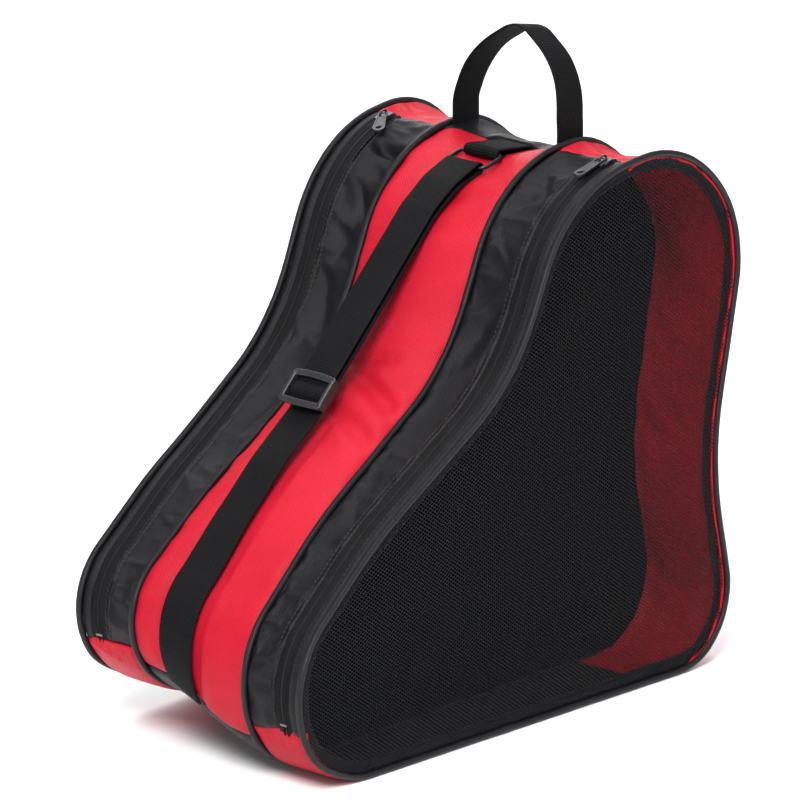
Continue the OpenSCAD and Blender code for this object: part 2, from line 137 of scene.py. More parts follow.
def make_outline():
    count = len(CORNERS)
    spots = [corner[:2] for corner in CORNERS]
    arcs = [round_corner(spots[k - 1], spots[k], spots[(k + 1) % count], CORNERS[k][2], 48)
            for k in range(count)]
    path = np.concatenate(arcs + [arcs[0][:1]])
    return walk(path), path


OUTLINE_WALK, OUTLINE = make_outline()
PITCH = OUTLINE_WALK[-1] / STATIONS
COLLAR_R = CORNERS[3][2]
COLLAR_MIDDLE = corner_middle(*(np.array(corner[:2], float) for corner in CORNERS[2:5]), COLLAR_R)


def on_outline(i):
    w = np.mod(i, STATIONS) * PITCH
    return np.interp(w, OUTLINE_WALK, OUTLINE[:, 0]), np.interp(w, OUTLINE_WALK, OUTLINE[:, 1])


def out_of_outline(i):
    """Outward direction of the outline at station i."""
    ax, az = on_outline(np.asarray(i) - 0.6)
    bx, bz = on_outline(np.asarray(i) + 0.6)
    tx, tz = bx - ax, bz - az
    size = np.hypot(tx, tz)
    return -tz / size, tx / size


def outward(i):
    """The same direction in space."""
    nx, nz = out_of_outline(i)
    return np.stack([nx, 0 * nx, nz], -1)


def edge(i, d=0.0, share=0.0):
    """Point at station i, moved out by d, with that share of the soft toe's lift."""
    i = np.asarray(i, float)
    x, z = on_outline(i)
    nx, nz = out_of_outline(i)
    x, z = x + d * nx, z + d * nz
    return x, z + TOE_LIFT * share * ease((20 - x) / 200) * ease((200 - z) / 200)


def top_sag(i):
    """How far the soft top sinks between the two stiff side rims."""
    return 6.5 * ease((i - 43) / 5.5) * ease((54.5 - i) / 6)


def face_at(x):
    return SIDE_HALF + x * FACE_SLOPE


def proud_at(i):
    """Piping stands proud of the outline, but lies flush along the underside."""
    j = np.mod(i, STATIONS)
    under = np.minimum(1, ease((j - BASE_BACK + 3) / 3) + ease((TOE_SEAM - 1 - j) / 3))
    return PIPING_PROUD - under * (PIPING_PROUD + PIPING_R)


def on_base(i):
    """1 along the underside, 0 elsewhere."""
    j = np.mod(i, STATIONS)
    return np.minimum(1, ease((j - BASE_BACK) / 3) + ease((TOE_SEAM - j) / 3))


# station and height of the middle pocket's swell and sag
SWELL = np.array([
    (5, 0), (8, -4), (12, -2), (16, 4), (20, 9), (26, 13), (31, 12), (34, 8), (37, -1),
    (40, -8), (43, -11), (48, -8), (56, 0), (66, 4), (78, 0), (105, 0),
], float)


def swell_at(i):
    i = np.asarray(i, float)
    k = np.clip(np.searchsorted(SWELL[:, 0], i, side="right") - 1, 0, len(SWELL) - 2)
    t = (i - SWELL[k, 0]) / (SWELL[k + 1, 0] - SWELL[k, 0])
    t = 0.5 * t + 0.5 * ease(t)
    return (1 - t) * SWELL[k, 1] + t * SWELL[k + 1, 1]


# ---------------------------------------------------------------- cloth detail
def noise_field(u, v, seed):
    """Smooth noise from -1 to 1 with one bump per unit."""
    table = np.random.default_rng(seed).uniform(-1, 1, (61, 67))
    iu, iv = np.floor(u).astype(int), np.floor(v).astype(int)
    fu, fv = ease(u - iu), ease(v - iv)

    def at(a, b):
        return table[np.mod(iu + a, 61), np.mod(iv + b, 67)]

    low = (1 - fu) * at(0, 0) + fu * at(1, 0)
    high = (1 - fu) * at(0, 1) + fu * at(1, 1)
    return (1 - fv) * low + fv * high


def rumple(s, e, size, seed):
    """Soft cloth relief from -1 to 1: folds of about the given size in mm that run askew."""
    a = (s * 0.86 + e * 0.5) / size
    b = (e * 0.86 - s * 0.5) / (2.3 * size)
    big = noise_field(a, b, seed)
    small = noise_field(2.1 * a + 7, 2.1 * b + 3, seed + 1)
    return 1 - 2 * np.abs(0.7 * big + 0.3 * small)


def fold(s, e, start, end, width, depth):
    """Valley with soft shoulders along the line from start to end, all in mm."""
    a, b = np.array(start, float), np.array(end, float)
    along = b - a
    length = np.linalg.norm(along)
    t = np.clip(((s - a[0]) * along[0] + (e - a[1]) * along[1]) / length**2, 0, 1)
    away = np.hypot(s - a[0] - t * along[0], e - a[1] - t * along[1]) / width
    fade = ease(1.0 - np.abs(2 * t - 1) ** 3)
    return -depth * (0.35 + 0.65 * fade) * (1 - 0.9 * away**2) * np.exp(-(away**2))


def folds(s, e, *rows):
    """Sum of folds: start, end, width and depth of each."""
    return sum(fold(s, e, *row) for row in rows)


def pucker(s, gap, seed, reach=9.0, height=0.7, pitch=9.0):
    """Little gathers that run away from a seam and fade out over reach mm."""
    near = np.exp(-np.maximum(gap, 0) / reach)
    return height * near * noise_field(s / pitch, gap / (3 * reach) + 11, seed)


def stitch_dents(s, away, depth=0.35):
    """Row of needle dents along a stitch line."""
    pull = np.exp(-((away / 1.1) ** 2))
    return -depth * pull * (0.75 + 0.25 * np.cos(2 * np.pi * s / STITCH_PITCH))


# ---------------------------------------------------------------- mesh builders
def make_object(name, points, faces, materials, face_material=None, uv=None):
    """Mesh object from points in mm. uv gives each point's place on the cloth in mm."""
    mesh = bpy.data.meshes.new(name)
    points = np.asarray(points, float) * MM
    mesh.from_pydata([tuple(p) for p in points], [], [tuple(int(k) for k in f) for f in faces])
    for material in materials:
        mesh.materials.append(material)
    if face_material is not None:
        mesh.polygons.foreach_set("material_index", np.asarray(face_material, np.int32))
    mesh.polygons.foreach_set("use_smooth", np.ones(len(mesh.polygons), bool))
    if uv is not None:
        layer = mesh.uv_layers.new(name="Cloth")
        corner = np.empty(len(mesh.loops), np.int32)
        mesh.loops.foreach_get("vertex_index", corner)
        layer.data.foreach_set("uv", (np.asarray(uv, float)[corner] * MM).ravel())
    mesh.update()
    obj = bpy.data.objects.new(name, mesh)
    bpy.context.scene.collection.objects.link(obj)
    return obj


def grid_faces(rows, columns, first=0, close=False):
    a = np.arange(rows * columns).reshape(rows, columns) + first
    if close:
        a = np.concatenate([a, a[:, :1]], 1)
    return np.stack([a[:-1, :-1], a[:-1, 1:], a[1:, 1:], a[1:, :-1]], -1).reshape(-1, 4)


def grid_normals(grid):
    du = np.gradient(grid, axis=0)
    dv = np.gradient(grid, axis=1)
    n = np.cross(du, dv)
    return n / np.maximum(np.linalg.norm(n, axis=2, keepdims=True), 1e-9)


def cloth_panel(name, grid, s, e, outside, inside, thick=CLOTH, flip=False, slack=0):
    """Closed sheet of cloth whose outer side is the grid of points. slack lets it settle first."""
    if slack:
        grid = settle(grid, slack)
    rows, columns = grid.shape[:2]
    n = grid_normals(grid) * (-1 if flip else 1)
    points = np.concatenate([grid.reshape(-1, 3), (grid - thick * n).reshape(-1, 3)])
    count = rows * columns
    outer = grid_faces(rows, columns)
    inner = grid_faces(rows, columns, count)[:, ::-1]
    rim_ids = np.concatenate([
        np.arange(columns),
        np.arange(1, rows) * columns + columns - 1,
        (rows - 1) * columns + np.arange(columns - 2, -1, -1),
        np.arange(rows - 2, 0, -1) * columns,
    ])
    after = np.roll(rim_ids, -1)
    rim = np.stack([after, rim_ids, rim_ids + count, after + count], 1)
    faces = np.concatenate([outer, inner, rim])
    if not flip:
        faces = faces[:, ::-1]
    which = np.concatenate([np.zeros(len(outer)), np.ones(len(inner) + len(rim))])
    uv = np.stack([s.ravel(), e.ravel()], 1)
    return make_object(name, points, faces, [outside, inside], which, np.concatenate([uv, uv]))


def tube(name, path, frame_a, frame_b, radius, material, sides=12):
    """Round tube along a closed path. frame_a and frame_b are the two directions across it."""
    path = np.asarray(path, float)
    count = len(path)
    radius = np.broadcast_to(radius, count)
    angles = np.arange(sides) * 2 * np.pi / sides
    ring = (np.cos(angles)[None, :, None] * frame_a[:, None, :]
            + np.sin(angles)[None, :, None] * frame_b[:, None, :])
    points = path[:, None, :] + radius[:, None, None] * ring
    ids = np.arange(count * sides).reshape(count, sides)
    ids = np.concatenate([ids, ids[:, :1]], 1)
    ids = np.concatenate([ids, ids[:1]], 0)
    faces = np.stack([ids[:-1, :-1], ids[:-1, 1:], ids[1:, 1:], ids[1:, :-1]], -1).reshape(-1, 4)
    s = walk(path)
    uv = np.stack([np.repeat(s, sides), np.tile(angles * 2.2, count)], 1)
    return make_object(name, points.reshape(-1, 3), faces, [material], None, uv)


def place(obj, matrix):
    """Moves a piece's mesh into place. The matrix is in mm."""
    scaled = matrix.copy()
    scaled.translation = matrix.translation * MM
    obj.data.transform(scaled)
    return obj


def join(name, objects):
    """One object out of several, each with its own materials."""
    bpy.ops.object.select_all(action="DESELECT")
    for o in objects:
        o.select_set(True)
    bpy.context.view_layer.objects.active = objects[0]
    bpy.ops.object.join()
    objects[0].name = name
    objects[0].data.name = name
    return objects[0]


def apply_modifiers(obj):
    graph = bpy.context.evaluated_depsgraph_get()
    mesh = bpy.data.meshes.new_from_object(obj.evaluated_get(graph))
    obj.modifiers.clear()
    obj.data = mesh
    return obj


def molded(obj, voxel, passes=6):
    """Fuses overlapping solids into one molded skin with soft edges."""
    remesh = obj.modifiers.new("fuse", "REMESH")
    remesh.mode = "VOXEL"
    remesh.voxel_size = voxel * MM
    remesh.use_smooth_shade = True
    soften = obj.modifiers.new("soften", "SMOOTH")
    soften.factor = 0.5
    soften.iterations = passes
    return apply_modifiers(obj)


def block(size, center=(0, 0, 0), rotate_y=0.0):
    """Points and faces of a box in mm."""
    corners = np.array([(x, y, z) for x in (-0.5, 0.5) for y in (-0.5, 0.5) for z in (-0.5, 0.5)])
    points = corners * np.asarray(size, float)
    c, s = math.cos(rotate_y), math.sin(rotate_y)
    points = points @ np.array([[c, 0, -s], [0, 1, 0], [s, 0, c]])
    faces = [(0, 1, 3, 2), (4, 6, 7, 5), (0, 4, 5, 1), (2, 3, 7, 6), (0, 2, 6, 4), (1, 5, 7, 3)]
    return points + np.asarray(center, float), faces


def prism(outline, low, high):
    """Points and faces of an upright prism with one flat outline."""
    count = len(outline)
    points = [(x, y, low) for x, y in outline] + [(x, y, high) for x, y in outline]
    sides = [(k, (k + 1) % count, (k + 1) % count + count, k + count) for k in range(count)]
    return np.array(points), [tuple(range(count))[::-1], tuple(range(count, 2 * count))] + sides


def solids(name, parts, material):
    points, faces, first = [], [], 0
    for p, f in parts:
        points.append(p)
        faces += [tuple(k + first for k in face) for face in f]
        first += len(p)
    return make_object(name, np.concatenate(points), faces, [material])


# ---------------------------------------------------------------- materials
class Nodes:
    """Small helper that builds one material's nodes."""

    def __init__(self, name):
        self.material = bpy.data.materials.new(name)
        self.material.use_nodes = True
        self.tree = self.material.node_tree
        self.tree.nodes.clear()
        self.shader = self.add("ShaderNodeBsdfPrincipled")
        self.output = self.add("ShaderNodeOutputMaterial")
        self.join(self.shader.outputs[0], self.output.inputs["Surface"])

    def add(self, kind, **settings):
        node = self.tree.nodes.new(kind)
        for key, value in settings.items():
            setattr(node, key, value)
        return node

    def join(self, a, b):
        self.tree.links.new(a, b)

    def feed(self, socket, value):
        if isinstance(value, bpy.types.NodeSocket):
            self.join(value, socket)
        else:
            socket.default_value = value

    def math(self, operation, a, b=0.0, c=0.0):
        node = self.add("ShaderNodeMath", operation=operation)
        for socket, value in zip(node.inputs, (a, b, c)):
            self.feed(socket, value)
        return node.outputs[0]

    def mix(self, *parts):
        """Sum of sockets, each with its share."""
        terms = [self.math("MULTIPLY", value, share) for value, share in parts]
        total = terms[0]
        for term in terms[1:]:
            total = self.math("ADD", total, term)
        return total

    def cloth(self):
        """Place on the cloth in metres: along and across."""
        split = self.add("ShaderNodeSeparateXYZ")
        self.join(self.add("ShaderNodeUVMap", uv_map="Cloth").outputs[0], split.inputs[0])
        return split.outputs[0], split.outputs[1]

    def space(self):
        return self.add("ShaderNodeTexCoord").outputs["Object"]

    def noise(self, scale, detail=2.0, roughness=0.5, where=None):
        node = self.add("ShaderNodeTexNoise")
        self.join(where or self.space(), node.inputs["Vector"])
        node.inputs["Scale"].default_value = scale
        node.inputs["Detail"].default_value = detail
        node.inputs["Roughness"].default_value = roughness
        return node.outputs[0]

    def ramp(self, value, stops):
        node = self.add("ShaderNodeValToRGB")
        node.color_ramp.elements[0].position, node.color_ramp.elements[0].color = stops[0]
        node.color_ramp.elements[1].position, node.color_ramp.elements[1].color = stops[-1]
        for position, color in stops[1:-1]:
            node.color_ramp.elements.new(position).color = color
        self.join(value, node.inputs[0])
        return node.outputs[0]

    def spread(self, value, low, high, out_low, out_high):
        node = self.add("ShaderNodeMapRange")
        for socket, v in zip(node.inputs, (value, low, high, out_low, out_high)):
            self.feed(socket, v)
        return node.outputs[0]

    def wave(self, x, pitch):
        """0 to 1 to 0 over every pitch metres."""
        turn = self.math("MULTIPLY", x, 2 * math.pi / pitch)
        return self.math("MULTIPLY_ADD", self.math("SINE", turn), 0.5, 0.5)

    def bump(self, height, distance, strength=1.0, below=None):
        node = self.add("ShaderNodeBump")
        node.inputs["Strength"].default_value = strength
        node.inputs["Distance"].default_value = distance
        self.join(height, node.inputs["Height"])
        if below is not None:
            self.join(below, node.inputs["Normal"])
        return node.outputs[0]

    def done(self, color, roughness, normal=None, **plain):
        self.feed(self.shader.inputs["Base Color"], color)
        self.feed(self.shader.inputs["Roughness"], roughness)
        if normal is not None:
            self.join(normal, self.shader.inputs["Normal"])
        for key, value in plain.items():
            self.shader.inputs[key.replace("_", " ")].default_value = value
        return self.material


def rgb(r, g, b):
    return (r, g, b, 1.0)


def plain_weave(m, pitch):
    """Height of a plain weave: warp and weft threads that cross over and under."""
    u, v = m.cloth()
    warp, weft = m.wave(u, pitch), m.wave(v, pitch)
    over = m.math("GREATER_THAN", m.math("MULTIPLY", m.math("SUBTRACT", m.wave(u, 2 * pitch), 0.5),
                                        m.math("SUBTRACT", m.wave(v, 2 * pitch), 0.5)), 0.0)
    return m.math("ADD", m.math("MULTIPLY", warp, over),
                  m.math("MULTIPLY", weft, m.math("SUBTRACT", 1.0, over)))


def oxford(name, shade, middle, light, roughness, pitch, gloss):
    """Woven oxford cloth with uneven threads and soft creasing."""
    m = Nodes(name)
    weave = plain_weave(m, pitch)
    slub = m.noise(900.0, 2.0, 0.6)
    cloudy = m.noise(16.0, 3.0, 0.55)
    tone = m.mix((weave, 0.35), (slub, 0.25), (cloudy, 0.45))
    color = m.ramp(tone, [(0.2, shade), (0.5, middle), (0.85, light)])
    rough = m.spread(m.math("ADD", m.math("MULTIPLY", weave, 0.4), cloudy), 0.2, 1.1,
                     roughness + 0.1, roughness - 0.08)
    crumple = m.bump(m.noise(110.0, 4.0, 0.55), 0.0006, 0.35)
    normal = m.bump(weave, 0.00022, 0.7, crumple)
    return m.done(color, rough, normal, Specular_IOR_Level=gloss)


def lining(name, shade, light, gloss):
    """Smooth coated back of the cloth."""
    m = Nodes(name)
    grain = m.noise(420.0, 3.0, 0.6)
    cloudy = m.noise(30.0, 2.0)
    color = m.ramp(m.math("MULTIPLY_ADD", cloudy, 0.6, m.math("MULTIPLY", grain, 0.4)),
                   [(0.3, shade), (0.7, light)])
    return m.done(color, m.spread(grain, 0.3, 0.7, 0.42, 0.6), m.bump(grain, 0.0002, 0.4),
                  Specular_IOR_Level=gloss)


def webbing_material():
    """Ribbed nylon webbing: rows of small ribs across, with bound edges."""
    m = Nodes("webbing_nylon")
    u, v = m.cloth()
    rib = m.wave(m.math("ADD", u, m.math("MULTIPLY", m.wave(v, 0.0034), 0.0005)), 0.0015)
    column = m.wave(v, 0.0017)
    height = m.mix((rib, 0.75), (column, 0.35))
    fuzz = m.noise(1300.0, 2.0, 0.7)
    tone = m.mix((height, 0.55), (fuzz, 0.3), (m.noise(35.0), 0.3))
    color = m.ramp(tone, [(0.25, rgb(0.001, 0.001, 0.0012)), (0.95, rgb(0.0075, 0.0075, 0.0085))])
    return m.done(color, m.spread(fuzz, 0.3, 0.7, 0.62, 0.8), m.bump(height, 0.00035, 0.8),
                  Specular_IOR_Level=0.09)


def piping_material():
    """Bias-cut binding pulled tight over a cord."""
    m = Nodes("piping_binding")
    u, v = m.cloth()
    twill = m.wave(m.math("ADD", u, m.math("MULTIPLY", v, 0.8)), 0.0012)
    worn = m.noise(55.0, 3.0, 0.6)
    tone = m.mix((twill, 0.4), (worn, 0.7))
    color = m.ramp(tone, [(0.25, rgb(0.003, 0.003, 0.0035)), (0.9, rgb(0.010, 0.010, 0.012))])
    normal = m.bump(twill, 0.00018, 0.6, m.bump(m.noise(160.0, 3.0), 0.0005, 0.35))
    return m.done(color, m.spread(worn, 0.3, 0.7, 0.32, 0.45), normal, Specular_IOR_Level=0.25)


def tape_material():
    """Zip tape: tight twill in fine slanted ribs."""
    m = Nodes("zip_tape_twill")
    u, v = m.cloth()
    rib = m.wave(m.math("ADD", u, m.math("MULTIPLY", v, 1.6)), 0.0011)
    tone = m.mix((rib, 0.5), (m.noise(60.0, 3.0), 0.6))
    color = m.ramp(tone, [(0.25, rgb(0.002, 0.002, 0.0024)), (0.9, rgb(0.008, 0.008, 0.009))])
    return m.done(color, m.spread(rib, 0.0, 1.0, 0.72, 0.58), m.bump(rib, 0.00022, 0.7),
                  Specular_IOR_Level=0.12)


def mesh_material():
    """Knitted mesh: black threads with a hexagonal net of holes that shows what is behind."""
    m = Nodes("diagonal_mesh")
    u, v = m.cloth()
    across, up = 0.0036, 0.0026
    a = m.math("ADD", m.math("DIVIDE", u, across), m.math("DIVIDE", v, up))
    b = m.math("SUBTRACT", m.math("DIVIDE", u, across), m.math("DIVIDE", v, up))
    wave_a = m.math("SINE", m.math("MULTIPLY", a, 2 * math.pi))
    wave_b = m.math("SINE", m.math("MULTIPLY", b, 2 * math.pi))
    open_a = m.spread(wave_a, -0.75, -0.15, 0.0, 1.0)
    open_b = m.spread(wave_b, -0.85, -0.25, 0.0, 1.0)
    hole = m.math("MULTIPLY", open_a, open_b)
    thread = m.math("SUBTRACT", 1.0, hole)
    fuzz = m.noise(1500.0, 2.0, 0.6)
    tone = m.mix((thread, 0.5), (fuzz, 0.5))
    color = m.ramp(tone, [(0.3, rgb(0.002, 0.002, 0.0024)), (0.9, rgb(0.010, 0.010, 0.0115))])
    m.done(color, m.spread(fuzz, 0.2, 0.8, 0.45, 0.65), m.bump(thread, 0.0006, 0.8),
           Specular_IOR_Level=0.08)
    clear = m.add("ShaderNodeBsdfTransparent")
    mix = m.add("ShaderNodeMixShader")
    m.join(hole, mix.inputs[0])
    m.join(m.shader.outputs[0], mix.inputs[1])
    m.join(clear.outputs[0], mix.inputs[2])
    m.join(mix.outputs[0], m.output.inputs["Surface"])
    return m.material


def metal_material(name, shade, light, roughness):
    """Plated metal with a painted highlight along its convex edges, worn patches and fine scratches."""
    m = Nodes(name)
    worn = m.noise(240.0, 4.0, 0.6)
    scratch_at = m.add("ShaderNodeMapping")
    m.join(m.space(), scratch_at.inputs[0])
    scratch_at.inputs["Scale"].default_value = (300.0, 2600.0, 900.0)
    scratch = m.noise(1.0, 2.0, 0.5, scratch_at.outputs[0])
    # convex edges are painted lighter: a painted highlight; the noise adds patches of real wear
    edge_highlight = m.add("ShaderNodeNewGeometry").outputs["Pointiness"]
    edge_highlight_and_wear = m.mix((m.spread(edge_highlight, 0.5, 0.62, 0.0, 1.0), 0.5), (worn, 0.7))
    color = m.ramp(edge_highlight_and_wear, [(0.25, shade), (0.85, light)])
    rough = m.spread(m.math("ADD", worn, m.math("MULTIPLY", scratch, 0.6)), 0.4, 1.2,
                     roughness - 0.06, roughness + 0.14)
    return m.done(color, rough, m.bump(scratch, 0.00008, 0.4), Metallic=0.85)


def plastic_material(name, shade, light, roughness):
    """Molded plastic with a fine spark-eroded grain, edges polished by use to a lower roughness, and a
    painted highlight that lightens the colour along convex edges.
    """
    m = Nodes(name)
    grain = m.noise(1900.0, 2.0, 0.6)
    cloudy = m.noise(45.0, 3.0)
    # convex edges: a painted highlight in the colour, plus lower roughness for the polish
    edge_highlight_and_polish = m.spread(m.add("ShaderNodeNewGeometry").outputs["Pointiness"], 0.5, 0.6, 0.0, 1.0)
    tone = m.mix((edge_highlight_and_polish, 0.5), (grain, 0.2), (cloudy, 0.4))
    color = m.ramp(tone, [(0.25, shade), (0.95, light)])
    rough = m.math("SUBTRACT", m.spread(cloudy, 0.3, 0.7, roughness, roughness + 0.12),
                   m.math("MULTIPLY", edge_highlight_and_polish, 0.12))
    return m.done(color, rough, m.bump(grain, 0.0001, 0.5), Specular_IOR_Level=0.5)


def thread_material():
    m = Nodes("sewing_thread")
    u = m.noise(2500.0, 1.0)
    return m.done(m.ramp(u, [(0.3, rgb(0.003, 0.003, 0.0035)), (0.7, rgb(0.012, 0.012, 0.014))]),
                  m.spread(u, 0.3, 0.7, 0.4, 0.6), m.bump(u, 0.0001, 0.5))


RED = oxford("red_oxford", rgb(0.28, 0.002, 0.010), rgb(0.40, 0.0035, 0.016),
             rgb(0.52, 0.006, 0.025), 0.50, 0.0011, 0.17)
BLACK = oxford("black_oxford", rgb(0.0022, 0.0022, 0.0027), rgb(0.0045, 0.0045, 0.0054),
               rgb(0.010, 0.010, 0.012), 0.42, 0.0009, 0.17)
RED_LINING = lining("red_lining", rgb(0.34, 0.003, 0.009), rgb(0.50, 0.006, 0.015), 0.1)
BLACK_LINING = lining("black_lining", rgb(0.0006, 0.0006, 0.0006), rgb(0.0014, 0.0014, 0.0015), 0.01)
WEBBING = webbing_material()
PIPING = piping_material()
TAPE = tape_material()
MESH = mesh_material()
COIL = plastic_material("zip_coil_nylon", rgb(0.008, 0.008, 0.009), rgb(0.035, 0.035, 0.038), 0.35)
PLASTIC = plastic_material("molded_plastic", rgb(0.010, 0.010, 0.011), rgb(0.05, 0.05, 0.055), 0.32)
BOARD = plastic_material("board_plastic", rgb(0.002, 0.002, 0.0022), rgb(0.006, 0.006, 0.0065), 0.6)
ZIP_METAL = metal_material("zip_metal", rgb(0.035, 0.035, 0.038), rgb(0.14, 0.14, 0.15), 0.36)
RING_METAL = metal_material("ring_metal", rgb(0.014, 0.014, 0.016), rgb(0.08, 0.08, 0.088), 0.3)
THREAD = thread_material()


# ---------------------------------------------------------------- camera, lights and floor
CAMERA_AZIMUTH, CAMERA_ELEVATION = -48.5, 16.0
CAMERA_LENS, CAMERA_DISTANCE = 296.7, 4.139
CAMERA_TARGET = (-0.0004, 0.0, 0.1937)


def make_camera():
    azimuth, elevation = math.radians(CAMERA_AZIMUTH), math.radians(CAMERA_ELEVATION)
    back = Vector((
        math.sin(azimuth) * math.cos(elevation),
        -math.cos(azimuth) * math.cos(elevation),
        math.sin(elevation),
    ))
    data = bpy.data.cameras.new("camera")
    data.lens, data.sensor_width = CAMERA_LENS, 36.0
    data.clip_end = 100.0
    camera = bpy.data.objects.new("camera", data)
    bpy.context.scene.collection.objects.link(camera)
    camera.location = Vector(CAMERA_TARGET) + back * CAMERA_DISTANCE
    camera.rotation_euler = (-back).to_track_quat("-Z", "Y").to_euler()
    bpy.context.scene.camera = camera


def area_light(name, location, size, power, aim=(0.0, 0.0, 0.2)):
    data = bpy.data.lights.new(name, "AREA")
    data.shape, data.size, data.size_y, data.energy = "RECTANGLE", size[0], size[1], power
    light = bpy.data.objects.new(name, data)
    light.location = location
    light.rotation_euler = (Vector(aim) - Vector(location)).to_track_quat("-Z", "Y").to_euler()
    bpy.context.scene.collection.objects.link(light)


def make_studio():
    world = bpy.data.worlds.new("studio")
    world.use_nodes = True
    world.node_tree.nodes["Background"].inputs[0].default_value = (0.95, 0.97, 1.0, 1.0)
    world.node_tree.nodes["Background"].inputs[1].default_value = 0.42
    bpy.context.scene.world = world
    area_light("key_softbox", (-1.5, -0.9, 1.9), (1.0, 1.0), 80)
    area_light("side_softbox", (0.6, -2.3, 1.0), (1.2, 0.9), 16)
    area_light("top_softbox", (0.3, 0.5, 2.2), (1.4, 1.4), 34)
    area_light("rim_softbox", (1.4, 1.5, 1.2), (1.0, 1.4), 14)
    m = Nodes("floor_paper")
    soft = m.noise(1.5, 2.0)
    m.done(m.ramp(soft, [(0.3, rgb(0.93, 0.93, 0.93)), (0.7, rgb(0.95, 0.95, 0.95))]), 0.9,
           Specular_IOR_Level=0.1)
    near, far = -9000, 12000
    corners = [(near, near, 0), (-near, near, 0), (-near, far, 0), (near, far, 0)]
    floor = make_object("floor", corners, [(0, 1, 2, 3)], [m.material])
    bpy.context.scene.view_settings.view_transform = "Standard"


# ---------------------------------------------------------------- sewing
def stitches(name, path, normal, length=2.5, gap=0.9, radius=0.28, sink=0.05):
    """Row of thread stitches along a line on the cloth."""
    path, normal = np.asarray(path, float), np.asarray(normal, float)
    s = walk(path)
    starts = np.arange(0.5, s[-1] - length, length + gap)
    at = follow(s, path)
    a, b, n = at(starts), at(starts + length), follow(s, normal)(starts + length / 2)
    along = b - a
    side = np.cross(along, n)
    side /= np.linalg.norm(side, axis=1, keepdims=True)
    n = n / np.linalg.norm(n, axis=1, keepdims=True)
    rings = [(0.0, 0.35, -0.3), (0.2, 1.0, 0.2), (0.5, 1.1, 0.3), (0.8, 1.0, 0.2), (1.0, 0.35, -0.3)]
    angles = np.arange(6) * math.pi / 3
    points = []
    for t, size, rise in rings:
        for angle in angles:
            points.append(a + along * t + radius * size * (math.cos(angle) * side + math.sin(angle) * n)
                          + (radius * rise - sink) * n)
    points = np.stack(points, 1)
    count = len(rings) * 6
    one = grid_faces(len(rings), 6, 0, True)
    faces = (one[None] + (np.arange(len(a)) * count)[:, None, None]).reshape(-1, 4)
    return make_object(name, points.reshape(-1, 3), faces, [THREAD])


def finish_piece(obj, nodes=(), body="bag"):
    """Hangs a piece on its body and hides the CAD nodes that it stands for."""
    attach(obj, body)
    if nodes:
        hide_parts(*nodes)
    return obj


def settle(grid, cap, loosen=0.014, frames=14):
    """Relaxes a panel as slack cloth that is sewn along its edges. Returns its buckled shape."""
    a = np.arange(0, grid.shape[0], 2)
    b = np.arange(0, grid.shape[1], 2)
    obj = make_object("settling", grid[np.ix_(a, b)].reshape(-1, 3), grid_faces(len(a), len(b)), [])
    before = np.empty(len(a) * len(b) * 3)
    obj.data.vertices.foreach_get("co", before)
    ids = np.arange(len(a) * len(b)).reshape(len(a), len(b))
    seams = obj.vertex_groups.new(name="seams")
    for line in (ids[0], ids[-1], ids[:, 0], ids[:, -1], ids[:, 1], ids[:, -2]):
        seams.add([int(k) for k in line], 1.0, "REPLACE")
    cloth = obj.modifiers.new("cloth", "CLOTH")
    cloth.settings.vertex_group_mass = "seams"
    cloth.settings.quality = 6
    cloth.settings.mass = 0.3
    cloth.settings.tension_stiffness = cloth.settings.compression_stiffness = 15
    cloth.settings.bending_stiffness = 3.0
    cloth.settings.shrink_min = -loosen
    cloth.settings.effector_weights.gravity = 0.3
    cloth.collision_settings.use_collision = False
    cloth.point_cache.frame_start, cloth.point_cache.frame_end = 1, frames
    for frame_number in range(1, frames + 1):
        bpy.context.scene.frame_set(frame_number)
    after = np.empty_like(before)
    obj.evaluated_get(bpy.context.evaluated_depsgraph_get()).data.vertices.foreach_get("co", after)
    bpy.data.objects.remove(obj)
    bpy.context.scene.frame_set(1)
    move = np.nan_to_num(after - before).reshape(len(a), len(b), 3) / MM
    size = np.linalg.norm(move, axis=2, keepdims=True)
    move *= cap * np.tanh(size / cap) / np.maximum(size, 1e-9)
    rows, columns = np.arange(grid.shape[0]), np.arange(grid.shape[1])
    wide = np.stack([[np.interp(columns, b, line) for line in move[:, :, k]] for k in range(3)], -1)
    full = np.stack([[np.interp(rows, a, line) for line in wide[:, :, k].T] for k in range(3)], -1)
    settled = grid + full.transpose(1, 0, 2)
    settled[:, :, 2] = np.maximum(settled[:, :, 2], 0)
    return settled


# ---------------------------------------------------------------- side compartments
def side_name(right):
    return "right" if right else "left"


def wall_point(right, i, depth, d):
    """Point on a compartment's wall: station, mm in from its side face, mm out of the outline."""
    x, z = edge(i, d, 1.0 if right else 0.0)
    y = depth - face_at(x)
    return np.stack([x, -y if right else y, np.maximum(z, 0.0)], -1)


def wall_width(right, i):
    """From the side face to the inner seam."""
    x, _ = edge(i, 0.0, 0.0)
    return face_at(x) - CENTER_HALF


SEAM_LAP = 0.14  # stations that two pieces share at a seam across the wall


def wall_grid(first, last, step, columns):
    rows = int((last - first) * PITCH / step) + 1
    return np.meshgrid(np.linspace(first, last, rows), np.linspace(0, 1, columns), indexing="ij")


def wall_strip(name, right, first, last, near, far, columns, height, outside, inside, thick=CLOTH,
               slack=0):
    """Strip of wall. far is mm from the side face, or None for up to the inner seam."""
    i, t = wall_grid(first - SEAM_LAP, last + SEAM_LAP, 1.6, columns)
    end = wall_width(right, i) + 0.6 if far is None else far
    depth = near + t * (end - near)
    s = i * PITCH
    d = height(i, s, depth, depth - near, end - depth) - top_sag(i) * ease(depth / wall_width(right, i))
    return cloth_panel(name, wall_point(right, i, depth, d), s, depth, outside, inside, thick, right, slack)


